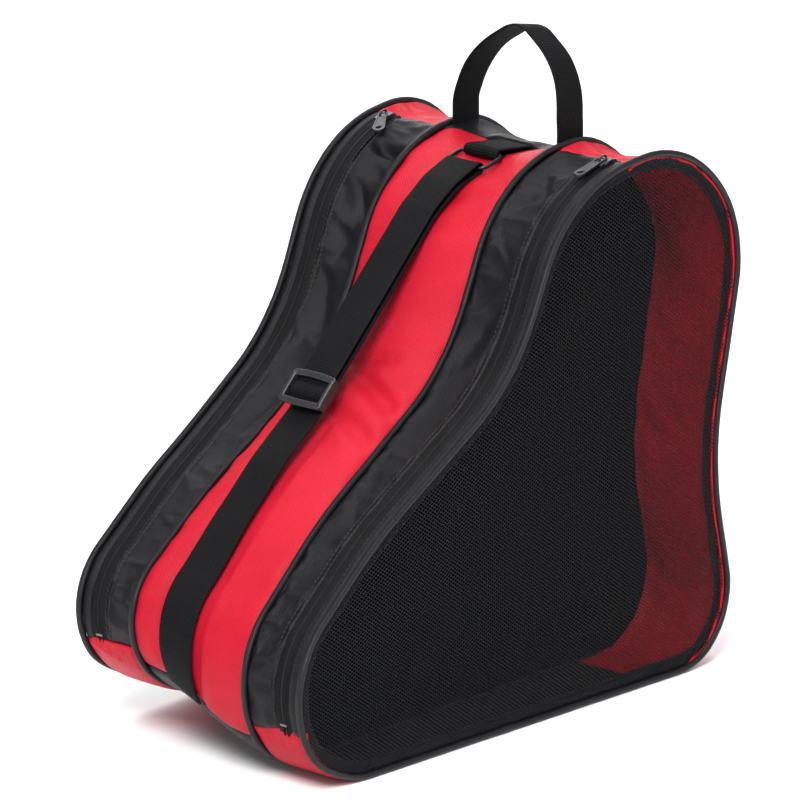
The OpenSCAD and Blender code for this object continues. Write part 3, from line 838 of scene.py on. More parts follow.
def tuck(gap, depth=1.2, reach=2.2):
    """Cloth turns down into its seam."""
    return -depth * np.exp(-((np.maximum(gap, 0) / reach) ** 2))


def end_tuck(i, first, last, depth=1.4, reach=0.16):
    return (-depth * np.exp(-((np.maximum(i - first, 0) / reach) ** 2))
            - depth * np.exp(-((np.maximum(last - i, 0) / reach) ** 2)))


def make_edge_strip(right):
    seed = 30 + right

    def height(i, s, e, near, far):
        crown = 0.9 * np.sin(np.pi * np.clip((e - 2.0) / 8.2, 0, 1))
        return (crown + tuck(near, 1.2, 1.6) + tuck(far, 1.7, 0.7) + end_tuck(i, TOE_SEAM, TOP_SEAM, 0.9)
                + 0.18 * noise_field(s / 14, e / 9, seed) + pucker(s, far, seed + 5, 3.0, 0.22, 6.0)
                + stitch_dents(s, e - 7.6, 0.22))

    strip = wall_strip(f"{side_name(right)}_zip_edge_strip", right, TOE_SEAM, TOP_SEAM, 0.8, 9.9, 14,
                       height, BLACK, BLACK_LINING, 1.4)
    finish_piece(strip, [f"{side_name(right)}_edge_strip"])


# columns of a tape, from its middle out to near its edge
TAPE_COLUMNS = np.array([0.18, 0.35, 0.6, 1.0, 1.4, 1.8, 2.2, 2.8, 3.8, 5.2])


def tape_columns(low, high):
    return np.concatenate([[-low], -TAPE_COLUMNS[::-1], [0], TAPE_COLUMNS, [high]])


def tape_height(s, e):
    """Reverse-coil tape: a smooth ridge over each half of the coil and a groove between."""
    away = np.abs(e - TAPE_MIDDLE)
    ridge = 1.15 * np.exp(-(((away - 1.45) / 0.8) ** 2))
    groove = -0.9 * np.exp(-((away / 0.32) ** 2))
    return -0.25 + ridge + groove + 0.05 * noise_field(s / 11, e / 5, 77)


def make_zip_tape(right):
    i, t = wall_grid(TOE_SEAM - SEAM_LAP, TOP_SEAM + SEAM_LAP, 1.8, 2)
    columns = TAPE_MIDDLE + tape_columns(6.4, 6.6)
    i, depth = np.meshgrid(i[:, 0], columns, indexing="ij")
    s = i * PITCH
    d = tape_height(s, depth) + tuck(depth - columns[0], 0.5, 0.8) + tuck(columns[-1] - depth, 0.5, 0.8)
    tape = cloth_panel(f"{side_name(right)}_zip_tape_twill", wall_point(right, i, depth, d), s, depth,
                       TAPE, TAPE, 1.0, flip=right)
    finish_piece(tape, [f"{side_name(right)}_zip_tape"])


def coil_teeth(name, s, path, across, out, pitch=1.45):
    """Closed nylon coil: a row of small loops from each side that lock in the middle."""
    steps = np.arange(0.5, s[-1] / pitch - 0.5)
    angles = np.arange(6) * math.pi / 3
    rings = [(-1.0, 0.55), (-0.75, 1.0), (0.0, 1.0), (0.75, 1.0), (1.0, 0.55)]
    groups = []
    for side in (-1, 1):
        t = (steps + (0.25 if side > 0 else -0.25)) * pitch
        c, a, n = (follow(s, values)(t) for values in (path, across, out))
        forward = np.cross(a, n)
        for u, size in rings:
            middle = c + a * (side * 1.0 + u * 1.15) + forward * (0.22 * u * side)
            for angle in angles:
                groups.append(middle + 0.36 * size * (math.cos(angle) * forward + math.sin(angle) * n))
    half = len(rings) * 6
    left = np.stack(groups[:half], 1)
    right = np.stack(groups[half:], 1)
    points = np.concatenate([left, right]).reshape(-1, 3)
    one = grid_faces(len(rings), 6, 0, True)
    faces = (one[None] + (np.arange(2 * len(steps)) * half)[:, None, None]).reshape(-1, 4)
    return make_object(name, points, faces, [COIL])


def make_side_coil(right):
    first, last = TOE_SEAM + 0.4, TOP_SEAM - 0.4
    i = np.linspace(first, last, 600)
    path = wall_point(right, i, TAPE_MIDDLE, -0.15)
    s = walk(path)
    out = outward(i)
    across = np.tile([0.0, -1.0 if right else 1.0, 0.0], (len(i), 1))
    coil = coil_teeth(f"{side_name(right)}_zip_coil_teeth", s, path, across, out)
    finish_piece(coil, [f"{side_name(right)}_zip_coil"])


def make_front_gusset(right):
    seed = 50 + 9 * right
    near_edge = 20.2

    def height(i, s, e, near, far):
        middle = np.clip(near / np.maximum(near + far, 1), 0, 1)
        belly = np.sin(np.pi * middle)
        free = ease(np.minimum(near, far) / 7)
        h = tuck(far, 1.4, 3.0) + tuck(near, 1.6, 0.7) + end_tuck(i, TOE_SEAM, TOP_SEAM)
        h = h + pucker(s, far, seed, 10, 0.9, 9) + pucker(s, near - 5, seed + 1, 8, 0.6, 8)
        h = h + 1.5 * free * rumple(s, e, 34, seed + 2) + 0.5 * free * rumple(s, e, 13, seed + 4)
        h = h + stitch_dents(s, near - 1.6) + stitch_dents(s, near - 4.6)
        top = TOP_SEAM * PITCH
        if right:
            h = h - 9.0 * belly * ease((i - 27) / 9) * ease((42.2 - i) / 3)
            h = h + free * folds(s, e, ((top - 30, 24), (top - 34, 50), 7, 5),
                                 ((top - 60, 26), (top - 92, 48), 8, 4),
                                 ((top - 120, 25), (top - 168, 44), 8, 3.0),
                                 ((top - 205, 44), (top - 265, 28), 7, 2.5))
        else:
            h = h - 2.6 * belly * ease((i - 30) / 8) * ease((42.2 - i) / 3)
            h = h + free * folds(s, e, ((top - 34, 27), (top - 62, 46), 7, 3.4),
                                 ((top - 26, 44), (top - 58, 33), 6, 2.4),
                                 ((top - 120, 27), (top - 168, 46), 9, 2.2),
                                 ((top - 250, 48), (top - 300, 30), 9, 2.2))
        return h

    name = f"{side_name(right)}_front_gusset_cloth"
    gusset = wall_strip(name, right, TOE_SEAM, TOP_SEAM, near_edge, None, 31, height, BLACK, BLACK_LINING,
                        slack=3.5)
    finish_piece(gusset, [f"{side_name(right)}_front_gusset"])
    i = np.linspace(TOE_SEAM + 0.3, TOP_SEAM - 0.3, 500)
    out = outward(i)
    rows = []
    for k, depth in enumerate((near_edge + 1.6, near_edge + 4.6, 7.6)):
        rows.append(stitches(f"row_{k}", wall_point(right, i, depth, 0.55 if k == 2 else -0.1), out))
    finish_piece(join(f"{side_name(right)}_zip_stitching", rows))


def make_red_gusset(right):
    seed = 90 + 7 * right

    def height(i, s, e, near, far):
        free = ease(np.minimum(near, far) / 7) * (1 - on_base(i))
        middle = np.clip(near / np.maximum(near + far, 1), 0, 1)
        h = tuck(far, 1.3, 3.0) + tuck(near, 0.9, 2.2) + end_tuck(i, TOP_SEAM, STATIONS + TOE_SEAM)
        h = h + (1.5 * ease((i - 54) / 7) - 4.5 * ease((58 - i) / 6)) * np.sin(np.pi * middle) * free
        gathers = pucker(s, far, seed, 10, 0.9, 10) + pucker(s, near, seed + 1, 10, 0.9, 10)
        h = h + gathers * (1 - on_base(i))
        h = h + 1.5 * free * rumple(s, e, 38, seed + 2) + 0.4 * free * rumple(s, e, 14, seed + 4)
        return h

    name = f"{side_name(right)}_red_gusset_cloth"
    gusset = wall_strip(name, right, TOP_SEAM, STATIONS + TOE_SEAM, 0.2, None, 39, height, RED, RED_LINING,
                        slack=2.5)
    finish_piece(gusset, [f"{side_name(right)}_red_gusset"])


def make_piping(right, inner):
    """Bound cord along a seam. The face piping also has the seam's binding inside the mesh."""
    i = np.linspace(0, STATIONS, 520, endpoint=False)
    share = 1.0 if right else 0.0
    x, z = edge(i, proud_at(i) - (top_sag(i) if inner else 0), share)
    side = 1.0 if right else -1.0
    y = side * (np.full_like(x, CENTER_HALF) if inner else face_at(x))
    path = np.stack([x, y, z], -1)
    out = outward(i)
    s = i * PITCH
    radius = PIPING_R * (1 + 0.035 * noise_field(s / 9, 0 * s, 5 + inner)
                         + 0.012 * np.cos(2 * np.pi * s / STITCH_PITCH))
    splice_at = 90.5 * PITCH
    radius = radius + 0.35 * np.exp(-(((s - splice_at) / 5.0) ** 4))
    path = path + out * (0.25 * noise_field(s / 30, 0 * s + 4, 8 + inner))[:, None]
    path[:, 2] = np.maximum(path[:, 2], radius)
    kind = "inner" if inner else "face"
    cord = tube(f"{side_name(right)}_{kind}_piping_cord", path, out, np.tile([0.0, 1.0, 0.0], (len(i), 1)),
                radius, PIPING)
    if not inner:
        cord = join(f"{side_name(right)}_face_piping_cord", [cord, make_binding(right)])
    finish_piece(cord, [f"{side_name(right)}_{kind}_piping"])


def make_binding(right):
    """Folded tape that binds the raw edges, seen through the mesh along its edge."""
    i, t = np.meshgrid(np.linspace(0, STATIONS, 401), np.linspace(0, 1, 6), indexing="ij")
    s = i * PITCH
    inward = 1.4 + 8.6 * t + 0.5 * noise_field(s / 22, t, 14) * t
    x, z = edge(i, proud_at(i) - inward, 1.0 if right else 0.0)
    depth = 2.2 + 1.6 * np.sin(np.pi * t) + 0.5 * noise_field(s / 12, t * 2, 15)
    y = depth - face_at(x)
    grid = np.stack([x, -y if right else y, np.maximum(z, 0.4)], -1)
    return cloth_panel("binding", grid, s, inward, PIPING, PIPING, 0.8, flip=right)


SPOKES_FROM = (62.0, 122.0)  # x and z of a point that sees the whole outline


def fan(ring, hub, turned):
    """Triangles from a ring of points to the hub in its middle."""
    after = np.roll(ring, -1)
    return [(hub, b, a) if turned else (hub, a, b) for a, b in zip(ring.tolist(), after.tolist())]


def radial_grid(right, shrink, rings, spokes, sag=0.0):
    """Rings of points that fill the outline around SPOKES_FROM."""
    i = np.linspace(0, STATIONS, spokes, endpoint=False)
    x, z = edge(i, proud_at(i) - shrink - sag * top_sag(i), 1.0 if right else 0.0)
    cx, cz = SPOKES_FROM
    t = np.linspace(0.03, 1, rings)[:, None] ** 0.8
    return cx + t * (x - cx), cz + t * (z - cz), np.broadcast_to(t, (rings, spokes))


def make_mesh_panel(right):
    rings, spokes = 46, 420
    x, z, t = radial_grid(right, 1.2, rings, spokes)
    slack = ease((1 - t) * 4.5)
    wavy = 0.9 * noise_field(x / 70, z / 55, 21 + right) + 0.35 * noise_field(x / 22, z / 18, 23)
    bulge = slack * (2.6 + wavy * ease(t * 6))
    edge_pull = 0.5 * np.exp(-((1 - t) * 26) ** 2) * noise_field(np.arange(spokes)[None, :] / 2.5, 0 * x, 25)
    y = face_at(x) + bulge + edge_pull - 0.6
    points = np.stack([x, y if right else -y, z], -1).reshape(-1, 3)
    faces = grid_faces(rings, spokes, 0, True)
    if not right:
        faces = faces[:, ::-1]
    hub = np.array([[x[0].mean(), (y if right else -y)[0].mean(), z[0].mean()]])
    hub_fan = fan(np.arange(spokes), len(points), right)
    points = np.concatenate([points, hub])
    uv = np.stack([points[:, 0], points[:, 2]], 1)
    panel = make_object(f"{side_name(right)}_mesh_side", points, list(faces) + hub_fan, [MESH], None, uv)
    finish_piece(panel, [f"{side_name(right)}_mesh_panel"])


def make_divider(right):
    """Padded wall between a side compartment and the middle pocket."""
    rings, spokes = 40, 300
    x, z, t = radial_grid(right, 1.6, rings, spokes, 1.0)
    slack = ease((1 - t) * 5) * ease(t * 6)
    seed = 33 + right
    relief = 1.4 * noise_field(x / 60, z / 60, seed) + 0.8 * rumple(x, z, 30, seed + 1)
    outer = CENTER_HALF + 0.9 + slack * relief
    layers = []
    for y in (outer, outer - 2.0):
        layers.append(np.stack([x, y if right else -y, z], -1))
    count = rings * spokes
    faces = grid_faces(rings, spokes, 0, True)
    points = np.concatenate([g.reshape(-1, 3) for g in layers])
    last = np.arange(count - spokes, count)
    rim = np.stack([last, np.roll(last, -1), np.roll(last, -1) + count, last + count], 1)
    faces = np.concatenate([faces, faces[:, ::-1] + count, rim])
    if not right:
        faces = faces[:, ::-1]
    caps = []
    for layer, turned in ((0, right), (1, not right)):
        ring = layer * count + np.arange(spokes)
        caps += fan(ring, len(points), turned)
        points = np.concatenate([points, points[ring].mean(0, keepdims=True)])
    name = f"{side_name(right)}_divider_wall"
    wall = make_object(name, points, list(faces) + caps, [BLACK_LINING], None, points[:, [0, 2]])
    finish_piece(wall, [f"{side_name(right)}_divider"])


# ---------------------------------------------------------------- middle pocket
def pocket_grid(first, last, y0, y1, columns, dip=0, step=1.6):
    """Stations and across positions. dip bends the rows at the patch's front edge backwards."""
    rows = int((last - first) * PITCH / step) + 1
    i, y = np.meshgrid(np.linspace(first, last, rows), np.linspace(y0, y1, columns), indexing="ij")
    round_off = 1 - np.clip(y / CENTER_HALF, -1, 1) ** 2
    if dip:
        reach = ease(1 - np.abs(i - PATCH_FRONT) / (4 if dip > 0 else 5.5))
        i = i + PATCH_DIP * round_off * reach
    return i, y


def pocket_point(i, y, d):
    a = np.clip(y / CENTER_HALF, -1, 1)
    x, z = edge(i, d + swell_at(i) * (1 - a * a) - top_sag(i), ease((a + 1) / 2))
    return np.stack([x, y, np.maximum(z, 0.0)], -1)


def pocket_panel(name, first, last, y0, y1, columns, height, outside, inside, dip=0):
    i, y = pocket_grid(first, last, y0, y1, columns, dip)
    s = i * PITCH
    grid = pocket_point(i, y, height(i, s, y))
    return cloth_panel(name, grid, s, y, outside, inside)


def seam_tucks(y, depth=1.3, reach=2.8):
    return tuck(CENTER_HALF + 0.4 - np.abs(y), depth, reach)


def make_front_panel():
    def height(i, s, y):
        gap = CENTER_HALF - np.abs(y)
        free = ease(gap / 9)
        h = seam_tucks(y) + pucker(s, gap, 131, 11, 1.0, 11)
        h = h + 2.0 * free * rumple(s, y, 52, 132) + 0.6 * free * rumple(s, y, 19, 133)
        h = h + free * folds(s, y, ((24.6 * PITCH, -42), (26.6 * PITCH, 8), 9, 4.6),
                             ((22.4 * PITCH, -44), (23.8 * PITCH, 2), 9, 3.8),
                             ((27.6 * PITCH, -18), (26.2 * PITCH, 40), 8, 3.4),
                             ((37.8 * PITCH, -40), (36.4 * PITCH, 10), 9, 1.6),
                             ((13.5 * PITCH, -44), (12.0 * PITCH, 0), 10, 1.4))
        under_strap = ease((21 - np.abs(y - wander(i))) / 5) * ease((24 - i) / 2)
        h = (1 - under_strap) * h + under_strap * np.minimum(h, -0.3)
        return h - 1.0 * np.exp(-(((i - BASE_FRONT + STATIONS) / 0.2) ** 2))

    panel = pocket_panel("front_panel_cloth", BASE_FRONT - STATIONS, PATCH_FRONT, -47.4, 47.4, 62,
                               height, RED, RED_LINING, dip=1)
    finish_piece(panel, ["center_front_panel"])


def make_top_patch():
    """Black patch whose folded front edge laps over the red panel and the ring's tab."""
    def height(i, s, y):
        gap = CENTER_HALF - np.abs(y)
        free = ease(gap / 7)
        front = (i - PATCH_FRONT - PATCH_DIP * (1 - np.clip(y / CENTER_HALF, -1, 1) ** 2)) * PITCH + 3
        over_tab = 3.8 * ease((24 - np.abs(y)) / 11) * np.exp(-((np.maximum(front, 0) / 17) ** 2))
        h = seam_tucks(y) + 1.5 - 2.1 * np.exp(-((front / 0.9) ** 2)) + over_tab
        h = h + 0.8 * free * rumple(s, y, 30, 141) + 0.25 * free * rumple(s, y, 11, 142)
        h = h + stitch_dents(s * 0 + y, front - 2.8, 0.3) + pucker(s, gap, 143, 7, 0.6, 8)
        return h - 2.0 * np.exp(-(((PATCH_BACK - i) / 0.12) ** 2))

    patch = pocket_panel("top_patch_cloth", PATCH_FRONT - 3 / PITCH, PATCH_BACK, -47.4, 47.4, 58,
                               height, BLACK, BLACK_LINING, dip=-1)
    finish_piece(patch, ["top_patch"])


def make_pocket_back(side):
    inner = 5.4

    def height(i, s, y):
        gap = CENTER_HALF - np.abs(y)
        zip_gap = np.abs(y) - inner
        free = ease(np.minimum(gap, zip_gap) / 7)
        h = seam_tucks(y) + tuck(zip_gap, 1.6, 0.7) + 0.5
        h = h + pucker(s, gap, 151 + side, 9, 0.9, 9) + pucker(s, zip_gap - 5, 153, 7, 0.5, 8)
        h = h + 1.4 * free * rumple(s, y, 32, 154 + side) + 0.4 * free * rumple(s, y, 12, 157)
        h = h + stitch_dents(s, zip_gap - 1.6) + stitch_dents(s, zip_gap - 4.6)
        ends = np.exp(-(((i - PATCH_BACK) / 0.12) ** 2)) + np.exp(-(((BASE_BACK - i) / 0.12) ** 2))
        return h - 1.6 * ends

    ys = sorted((side * inner, side * 47.4))
    word = "left" if side < 0 else "right"
    panel = pocket_panel(f"pocket_back_{word}_cloth", PATCH_BACK, BASE_BACK, ys[0], ys[1], 34,
                               height, BLACK, BLACK_LINING)
    finish_piece(panel, [f"center_back_{word}"])


def make_back_zip():
    i, _ = pocket_grid(PATCH_BACK, BASE_BACK, 0, 1, 2, step=1.8)
    i, y = np.meshgrid(i[:, 0], tape_columns(6.6, 6.6), indexing="ij")
    s = i * PITCH
    closed = ease((i - 50.6) / 0.5) * ease((75.4 - i) / 0.5)
    d = (tape_height(s, y + TAPE_MIDDLE) + 0.25) * closed - 0.25 + tuck(6.6 - np.abs(y), 0.5, 0.8)
    tape = cloth_panel("back_zip_tape_twill", pocket_point(i, y, d), s, y, TAPE, TAPE, 1.0)
    finish_piece(tape, ["back_zip_tape"])
    k = np.linspace(51, 75, 400)
    path = pocket_point(k, 0 * k, -0.15)
    along = walk(path)
    out = outward(k)
    across = np.tile([0.0, 1.0, 0.0], (len(k), 1))
    coil = coil_teeth("back_zip_coil_teeth", along, path, across, out)
    finish_piece(coil, ["back_zip_coil"])
    k = np.linspace(PATCH_BACK + 0.4, BASE_BACK - 0.4, 400)
    out = outward(k)
    rows = [stitches(f"row_{n}", pocket_point(k, 0 * k + y, 0.45), out)
            for n, y in enumerate((-10.0, -7.0, 7.0, 10.0))]
    finish_piece(join("back_zip_stitching", rows))


def make_pocket_base():
    def height(i, s, y):
        h = seam_tucks(y, 1.0) + 0.5 * rumple(s, y, 40, 161) * ease((i - 96) / 3)
        h = h - np.exp(-(((i - BASE_BACK) / 0.12) ** 2))
        return h - 1.4 * np.exp(-(((BASE_FRONT - i) / 0.2) ** 2))

    panel = pocket_panel("pocket_base_cloth", BASE_BACK, BASE_FRONT, -47.4, 47.4, 40,
                               height, BLACK, BLACK_LINING)
    finish_piece(panel, ["center_base_panel"])


# ---------------------------------------------------------------- webbing
def sweep_webbing(name, path, normal, across, width, thick, seed):
    """Webbing along a path, with soft bound edges and a little slackness."""
    path, normal, across = (np.asarray(a, float) for a in (path, normal, across))
    s = walk(path)
    half = width / 2
    u = np.concatenate([np.linspace(-1, 1, 15), [1.012], np.linspace(1, -1, 15), [-1.012]])
    up = np.concatenate([np.full(15, 1.0), [0.0], np.full(15, -1.0), [0.0]])
    body_thick = thick / 2 * (1 - 0.45 * np.clip((np.abs(u) - 0.9) / 0.1, 0, 1) ** 2)
    wave = 0.35 * noise_field(s / 45, 0 * s, seed)[:, None] * (1 - u[None, :] ** 2) \
        + 0.18 * noise_field(s / 16, 0 * s + 5, seed)[:, None] * u[None, :]
    side = half * u[None, :] * (1 + 0.008 * noise_field(s / 20, 0 * s + 9, seed)[:, None])
    points = (path[:, None, :] + across[:, None, :] * side[..., None]
              + normal[:, None, :] * (wave + (body_thick * up)[None, :])[..., None])
    count = len(u)
    faces = list(grid_faces(len(path), count, 0, True))
    last = (len(path) - 1) * count
    faces += [tuple(range(count)), tuple(range(last, last + count))[::-1]]
    uv = np.stack([np.repeat(s, count), np.tile(half * u, len(path))], 1)
    return make_object(name, points.reshape(-1, 3), faces, [WEBBING], None, uv)


RING_X = float(edge(39.0)[0])
YAW = math.radians(2.5)
STRAP_W, WEB, LAYER_GAP = 28.0, 1.6, 4.4
RING_BAR, RING_LEN, RING_TILT = 3.0, 22.0, math.radians(16)
ADJUSTER_LEN = 23.0
WRAP_R = RING_BAR / 2 + 0.9 + WEB / 2
BEND_R = 40.0


def wander(i):
    return (RING_X - edge(i)[0]) * math.tan(YAW)


def route(i, h):
    """Point of the strap's middle at station i and height h above the panel."""
    a = wander(i) / CENTER_HALF
    x, z = edge(i, swell_at(i) * (1 - a * a) + h, ease((a + 1) / 2))
    return np.array([float(x), float(z)])


RING_PIN = route(39, WRAP_R + WEB / 2 + 1.6)
TAB_PIN = RING_PIN + (RING_LEN - RING_BAR) * np.array([math.cos(RING_TILT), math.sin(RING_TILT)])
BEND_AT, BEND_HIGH = route(35.6, 7.5), route(37.3, 7)
ADJUSTER_AT = route(23.4, 14)
RUN = unit(ADJUSTER_AT - BEND_AT)


def into(direction):
    return np.array([-direction[1], direction[0]])


def arc_points(middle, r, start, end, steps):
    a = np.radians(np.linspace(start, end, steps + 1))
    return np.asarray(middle) + r * np.stack([np.cos(a), np.sin(a)], 1)


def strap_matrix():
    shift = Matrix.Translation((RING_X, 0, 0))
    return shift @ Matrix.Rotation(-YAW, 4, "Z") @ shift.inverted()


def flat_webbing(name, path, width, seed, step=2.0):
    """Webbing whose route lies in the strap's upright plane."""
    path = resample(path, step)
    tangent = np.gradient(path, axis=0)
    tangent /= np.linalg.norm(tangent, axis=1, keepdims=True)
    p3 = np.stack([path[:, 0], 0 * path[:, 0], path[:, 1]], 1)
    n3 = np.stack([-tangent[:, 1], 0 * path[:, 0], tangent[:, 0]], 1)
    across = np.tile([0.0, 1.0, 0.0], (len(path), 1))
    return place(sweep_webbing(name, p3, n3, across, width, WEB, seed), strap_matrix())


def make_upper_strap():
    half = LAYER_GAP / 2
    foot = ADJUSTER_AT + RUN * ADJUSTER_LEN * 0.42
    from_ring = into(unit(BEND_HIGH - RING_PIN))
    middle_in = into(unit(BEND_AT - BEND_HIGH))
    run_in = into(RUN)
    high_in = unit(from_ring + middle_in) * half
    bend_in = unit(middle_in + run_in) * half
    turn = math.degrees(heading(from_ring))
    wrap = arc_points(RING_PIN, WRAP_R, turn + 180, turn, 16)
    over = round_path([foot - run_in * half, (*(BEND_AT - bend_in), BEND_R),
                       (*(BEND_HIGH - high_in), BEND_R), wrap[0]])
    back = round_path([wrap[-1], (*(BEND_HIGH + high_in), BEND_R),
                       (*(BEND_AT + bend_in), BEND_R), foot + run_in * half])
    strap = flat_webbing("upper_strap_webbing", np.concatenate([over, wrap[1:-1], back]), STRAP_W, 171)
    finish_piece(strap, ["upper_strap"], "strap_top")


def laid_point(i, h, u):
    """Point on webbing that lies on the front panel: u runs from -1 to 1 across it."""
    spread = STRAP_W / 2 * u / math.cos(YAW)
    y = wander(i) + spread
    a = np.clip(y / CENTER_HALF, -1, 1)
    x, z = edge(i, swell_at(i) * (1 - a * a) + h, ease((a + 1) / 2))
    return np.stack([x + spread * math.sin(YAW), y, z], -1)


def make_lower_strap():
    # station and height above the panel
    rows = np.array([(5.0, 1.2), (6, 1.8), (7.6, 3.4), (9.3, 3.0), (11, 2.8), (14.5, 3.8), (17.4, 5),
                     (19.4, 7.8), (21.0, 9.0), (22.3, 9.6), (23.0, 10.4)])
    i = np.linspace(rows[0, 0], rows[-1, 0], 150)
    h = np.interp(i, rows[:, 0], rows[:, 1])
    for _ in range(12):
        h[1:-1] = 0.25 * h[:-2] + 0.5 * h[1:-1] + 0.25 * h[2:]
    middle, low, high = laid_point(i, h, 0 * i), laid_point(i, h, 0 * i - 1), laid_point(i, h, 0 * i + 1)
    across = (high - low) / np.linalg.norm(high - low, axis=1, keepdims=True)
    along = np.gradient(middle, axis=0)
    normal = np.cross(across, along)
    normal /= np.linalg.norm(normal, axis=1, keepdims=True)
    strap = sweep_webbing("lower_strap_webbing", (middle + low + high) / 3, normal, across, STRAP_W, WEB, 181)
    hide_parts("lower_strap", "strap_anchor")
    a, b = laid_point(np.array(6.6), 2.4, 0.0) * MM, laid_point(np.array(9.4), 2.8, 0.0) * MM
    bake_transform(strap)


def make_tab():
    end = route(PATCH_FRONT + PATCH_DIP - 0.4, WEB * 1.5 + 0.8)
    lift = np.array([0, WEB / 2 + 0.1])
    under = route(44.6, -1.6)  # sewn down below the patch
    path = np.concatenate([[under + lift, end + lift], arc_points(TAB_PIN, WRAP_R, 80, 280, 14),
                           [end - lift, under - lift]])
    tab = flat_webbing("strap_tab_webbing", path, STRAP_W, 191, 1.2)
    finish_piece(tab, ["strap_tab"])


def make_handle():
    """Arch of webbing. Its legs stand in the top seams and it leans a little to the heel."""
    half, rise_all, fold_rise = 43.4, 66.0, 17.5
    lean = math.radians(11)
    top = float(edge(PATCH_FRONT)[1])
    fold_z = top + fold_rise
    rise = rise_all - fold_rise
    shoulder = 0.84 * half
    arch = round_path([(-half, -fold_rise - 7), (-half, 0, 60), (-shoulder, rise * 0.62, 52),
                       (0, rise + 6.4, 17), (shoulder, rise * 0.62, 52), (half, 0, 60),
                       (half, -fold_rise - 7)], 16)
    arch = resample(arch, 2.2)
    y, h = arch[:, 0], arch[:, 1]
    tangent = np.gradient(arch, axis=0)
    tangent /= np.linalg.norm(tangent, axis=1, keepdims=True)
    lean_at = lean * ease((h + 8) / 14)
    path = np.stack([112 + h * np.sin(lean_at), y, fold_z + h * np.cos(lean_at)], 1)
    normal = np.stack([tangent[:, 0] * np.sin(lean_at), -tangent[:, 1], tangent[:, 0] * np.cos(lean_at)], 1)
    across = np.stack([np.cos(lean_at), 0 * y, -np.sin(lean_at)], 1)
    handle = sweep_webbing("carry_handle_webbing", path, normal, across, 25.0, WEB, 201)
    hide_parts("carry_handle", "handle_sewn_ends")
    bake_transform(handle)


# ---------------------------------------------------------------- hardware
def ring_matrix():
    return (strap_matrix() @ Matrix.Translation((RING_PIN[0], 0, RING_PIN[1]))
            @ Matrix.Rotation(-RING_TILT, 4, "Y"))


def make_ring():
    """Rectangular ring of bent wire, its ends butted together under the tab."""
    long, wide, corner = RING_LEN - RING_BAR, (STRAP_W + 9 - RING_BAR) / 2, 5.5
    outline = []
    for cx, cy, start in ((long - corner, wide - corner, 0), (corner, wide - corner, 90),
                          (corner, corner - wide, 180), (long - corner, corner - wide, 270)):
        a = np.radians(np.linspace(start, start + 90, 9))
        outline.append(np.stack([cx + corner * np.cos(a), cy + corner * np.sin(a)], 1))
    path = np.concatenate(outline)
    path = resample(np.concatenate([path, path[:1]]), 1.2)[:-1]
    tangent = np.roll(path, -1, 0) - np.roll(path, 1, 0)
    tangent /= np.linalg.norm(tangent, axis=1, keepdims=True)
    p3 = np.stack([path[:, 0], path[:, 1], 0 * path[:, 0]], 1)
    out = np.stack([tangent[:, 1], -tangent[:, 0], 0 * path[:, 0]], 1)
    up = np.tile([0.0, 0.0, 1.0], (len(path), 1))
    ring = tube("strap_ring_wire", p3, out, up, RING_BAR / 2 - 0.12, RING_METAL, 16)
    place(ring, ring_matrix())
    finish_piece(ring, ["strap_ring"], "ring")


def arched_bar(x0, x1, y0, y1, low, thick, bow_x=0.0, bow_z=0.0, steps=10):
    """Row of short blocks that make a bar across, bowed outward and upward in its middle."""
    parts = []
    ys = np.linspace(y0, y1, steps + 1)
    for a, b in zip(ys[:-1], ys[1:]):
        middle = (a + b) / 2
        swell = 1 - (2 * (middle - y0) / (y1 - y0) - 1) ** 2
        center = ((x0 + x1) / 2 + bow_x * swell, middle, low + thick / 2 + bow_z * swell)
        parts.append(block((x1 - x0, b - a + 0.4, thick), center))
    return parts


def make_adjuster():
    """Three-bar slide adjuster of molded plastic."""
    arm, clear, bar = 3.0, 0.5, 2.2
    over = LAYER_GAP / 2 + WEB / 2 + clear
    inner = STRAP_W + 2 * clear + 0.4
    half, long = inner / 2 + arm, ADJUSTER_LEN / 2
    parts = []
    for side in (-1, 1):
        x0, x1 = sorted((side * (long - 4.2), side * long))
        parts += arched_bar(x0, x1, -half + 1.2, half - 1.2, over, bar, side * 0.9, 0.5)
        y0, y1 = sorted((side * inner / 2, side * half))
        middle = (0, (y0 + y1) / 2, (over + bar - 1) / 2)
        parts.append(block((ADJUSTER_LEN - 2.6, arm, over + bar + 1), middle))
        parts.append(block((ADJUSTER_LEN - 6, arm - 0.8, 0.8), (0, (y0 + y1) / 2, over + bar + 0.2)))
        for end in (-1, 1):
            corner = (end * (long - 2.4), (y0 + y1) / 2, over + bar / 2 - 0.6)
            parts.append(block((3.2, arm + 0.4, bar + 1.6), corner))
    parts += arched_bar(-2.0, 2.0, -half + 0.6, half - 0.6, -1.0, 2.0)
    adjuster = molded(solids("strap_adjuster_plastic", parts, PLASTIC), 0.32, 7)
    seat = (strap_matrix() @ Matrix.Translation((ADJUSTER_AT[0], 0, ADJUSTER_AT[1]))
            @ Matrix.Rotation(-heading(RUN), 4, "Y") @ Matrix.Diagonal((1, 1, -1, 1)))
    place(adjuster, seat)
    adjuster.data.flip_normals()
    finish_piece(adjuster, ["strap_adjuster"], "adjuster")
    hump = np.linspace(-1, 1, 15)
    rise = (over + 1.1) * (1 - np.abs(hump) ** 2.6)
    loop = np.stack([6.6 * hump, 0 * hump, rise], 1)
    normal = np.gradient(loop, axis=0) @ np.array([[0, 0, 1], [0, 1, 0], [-1, 0, 0]], float)
    normal /= np.linalg.norm(normal, axis=1, keepdims=True)
    across = np.tile([0.0, 1.0, 0.0], (15, 1))
    loop = sweep_webbing("strap_adjuster_loop", loop, normal, across, STRAP_W - 0.6, WEB, 175)
    place(loop, seat)
    loop.data.flip_normals()
    finish_piece(loop, [], "adjuster")


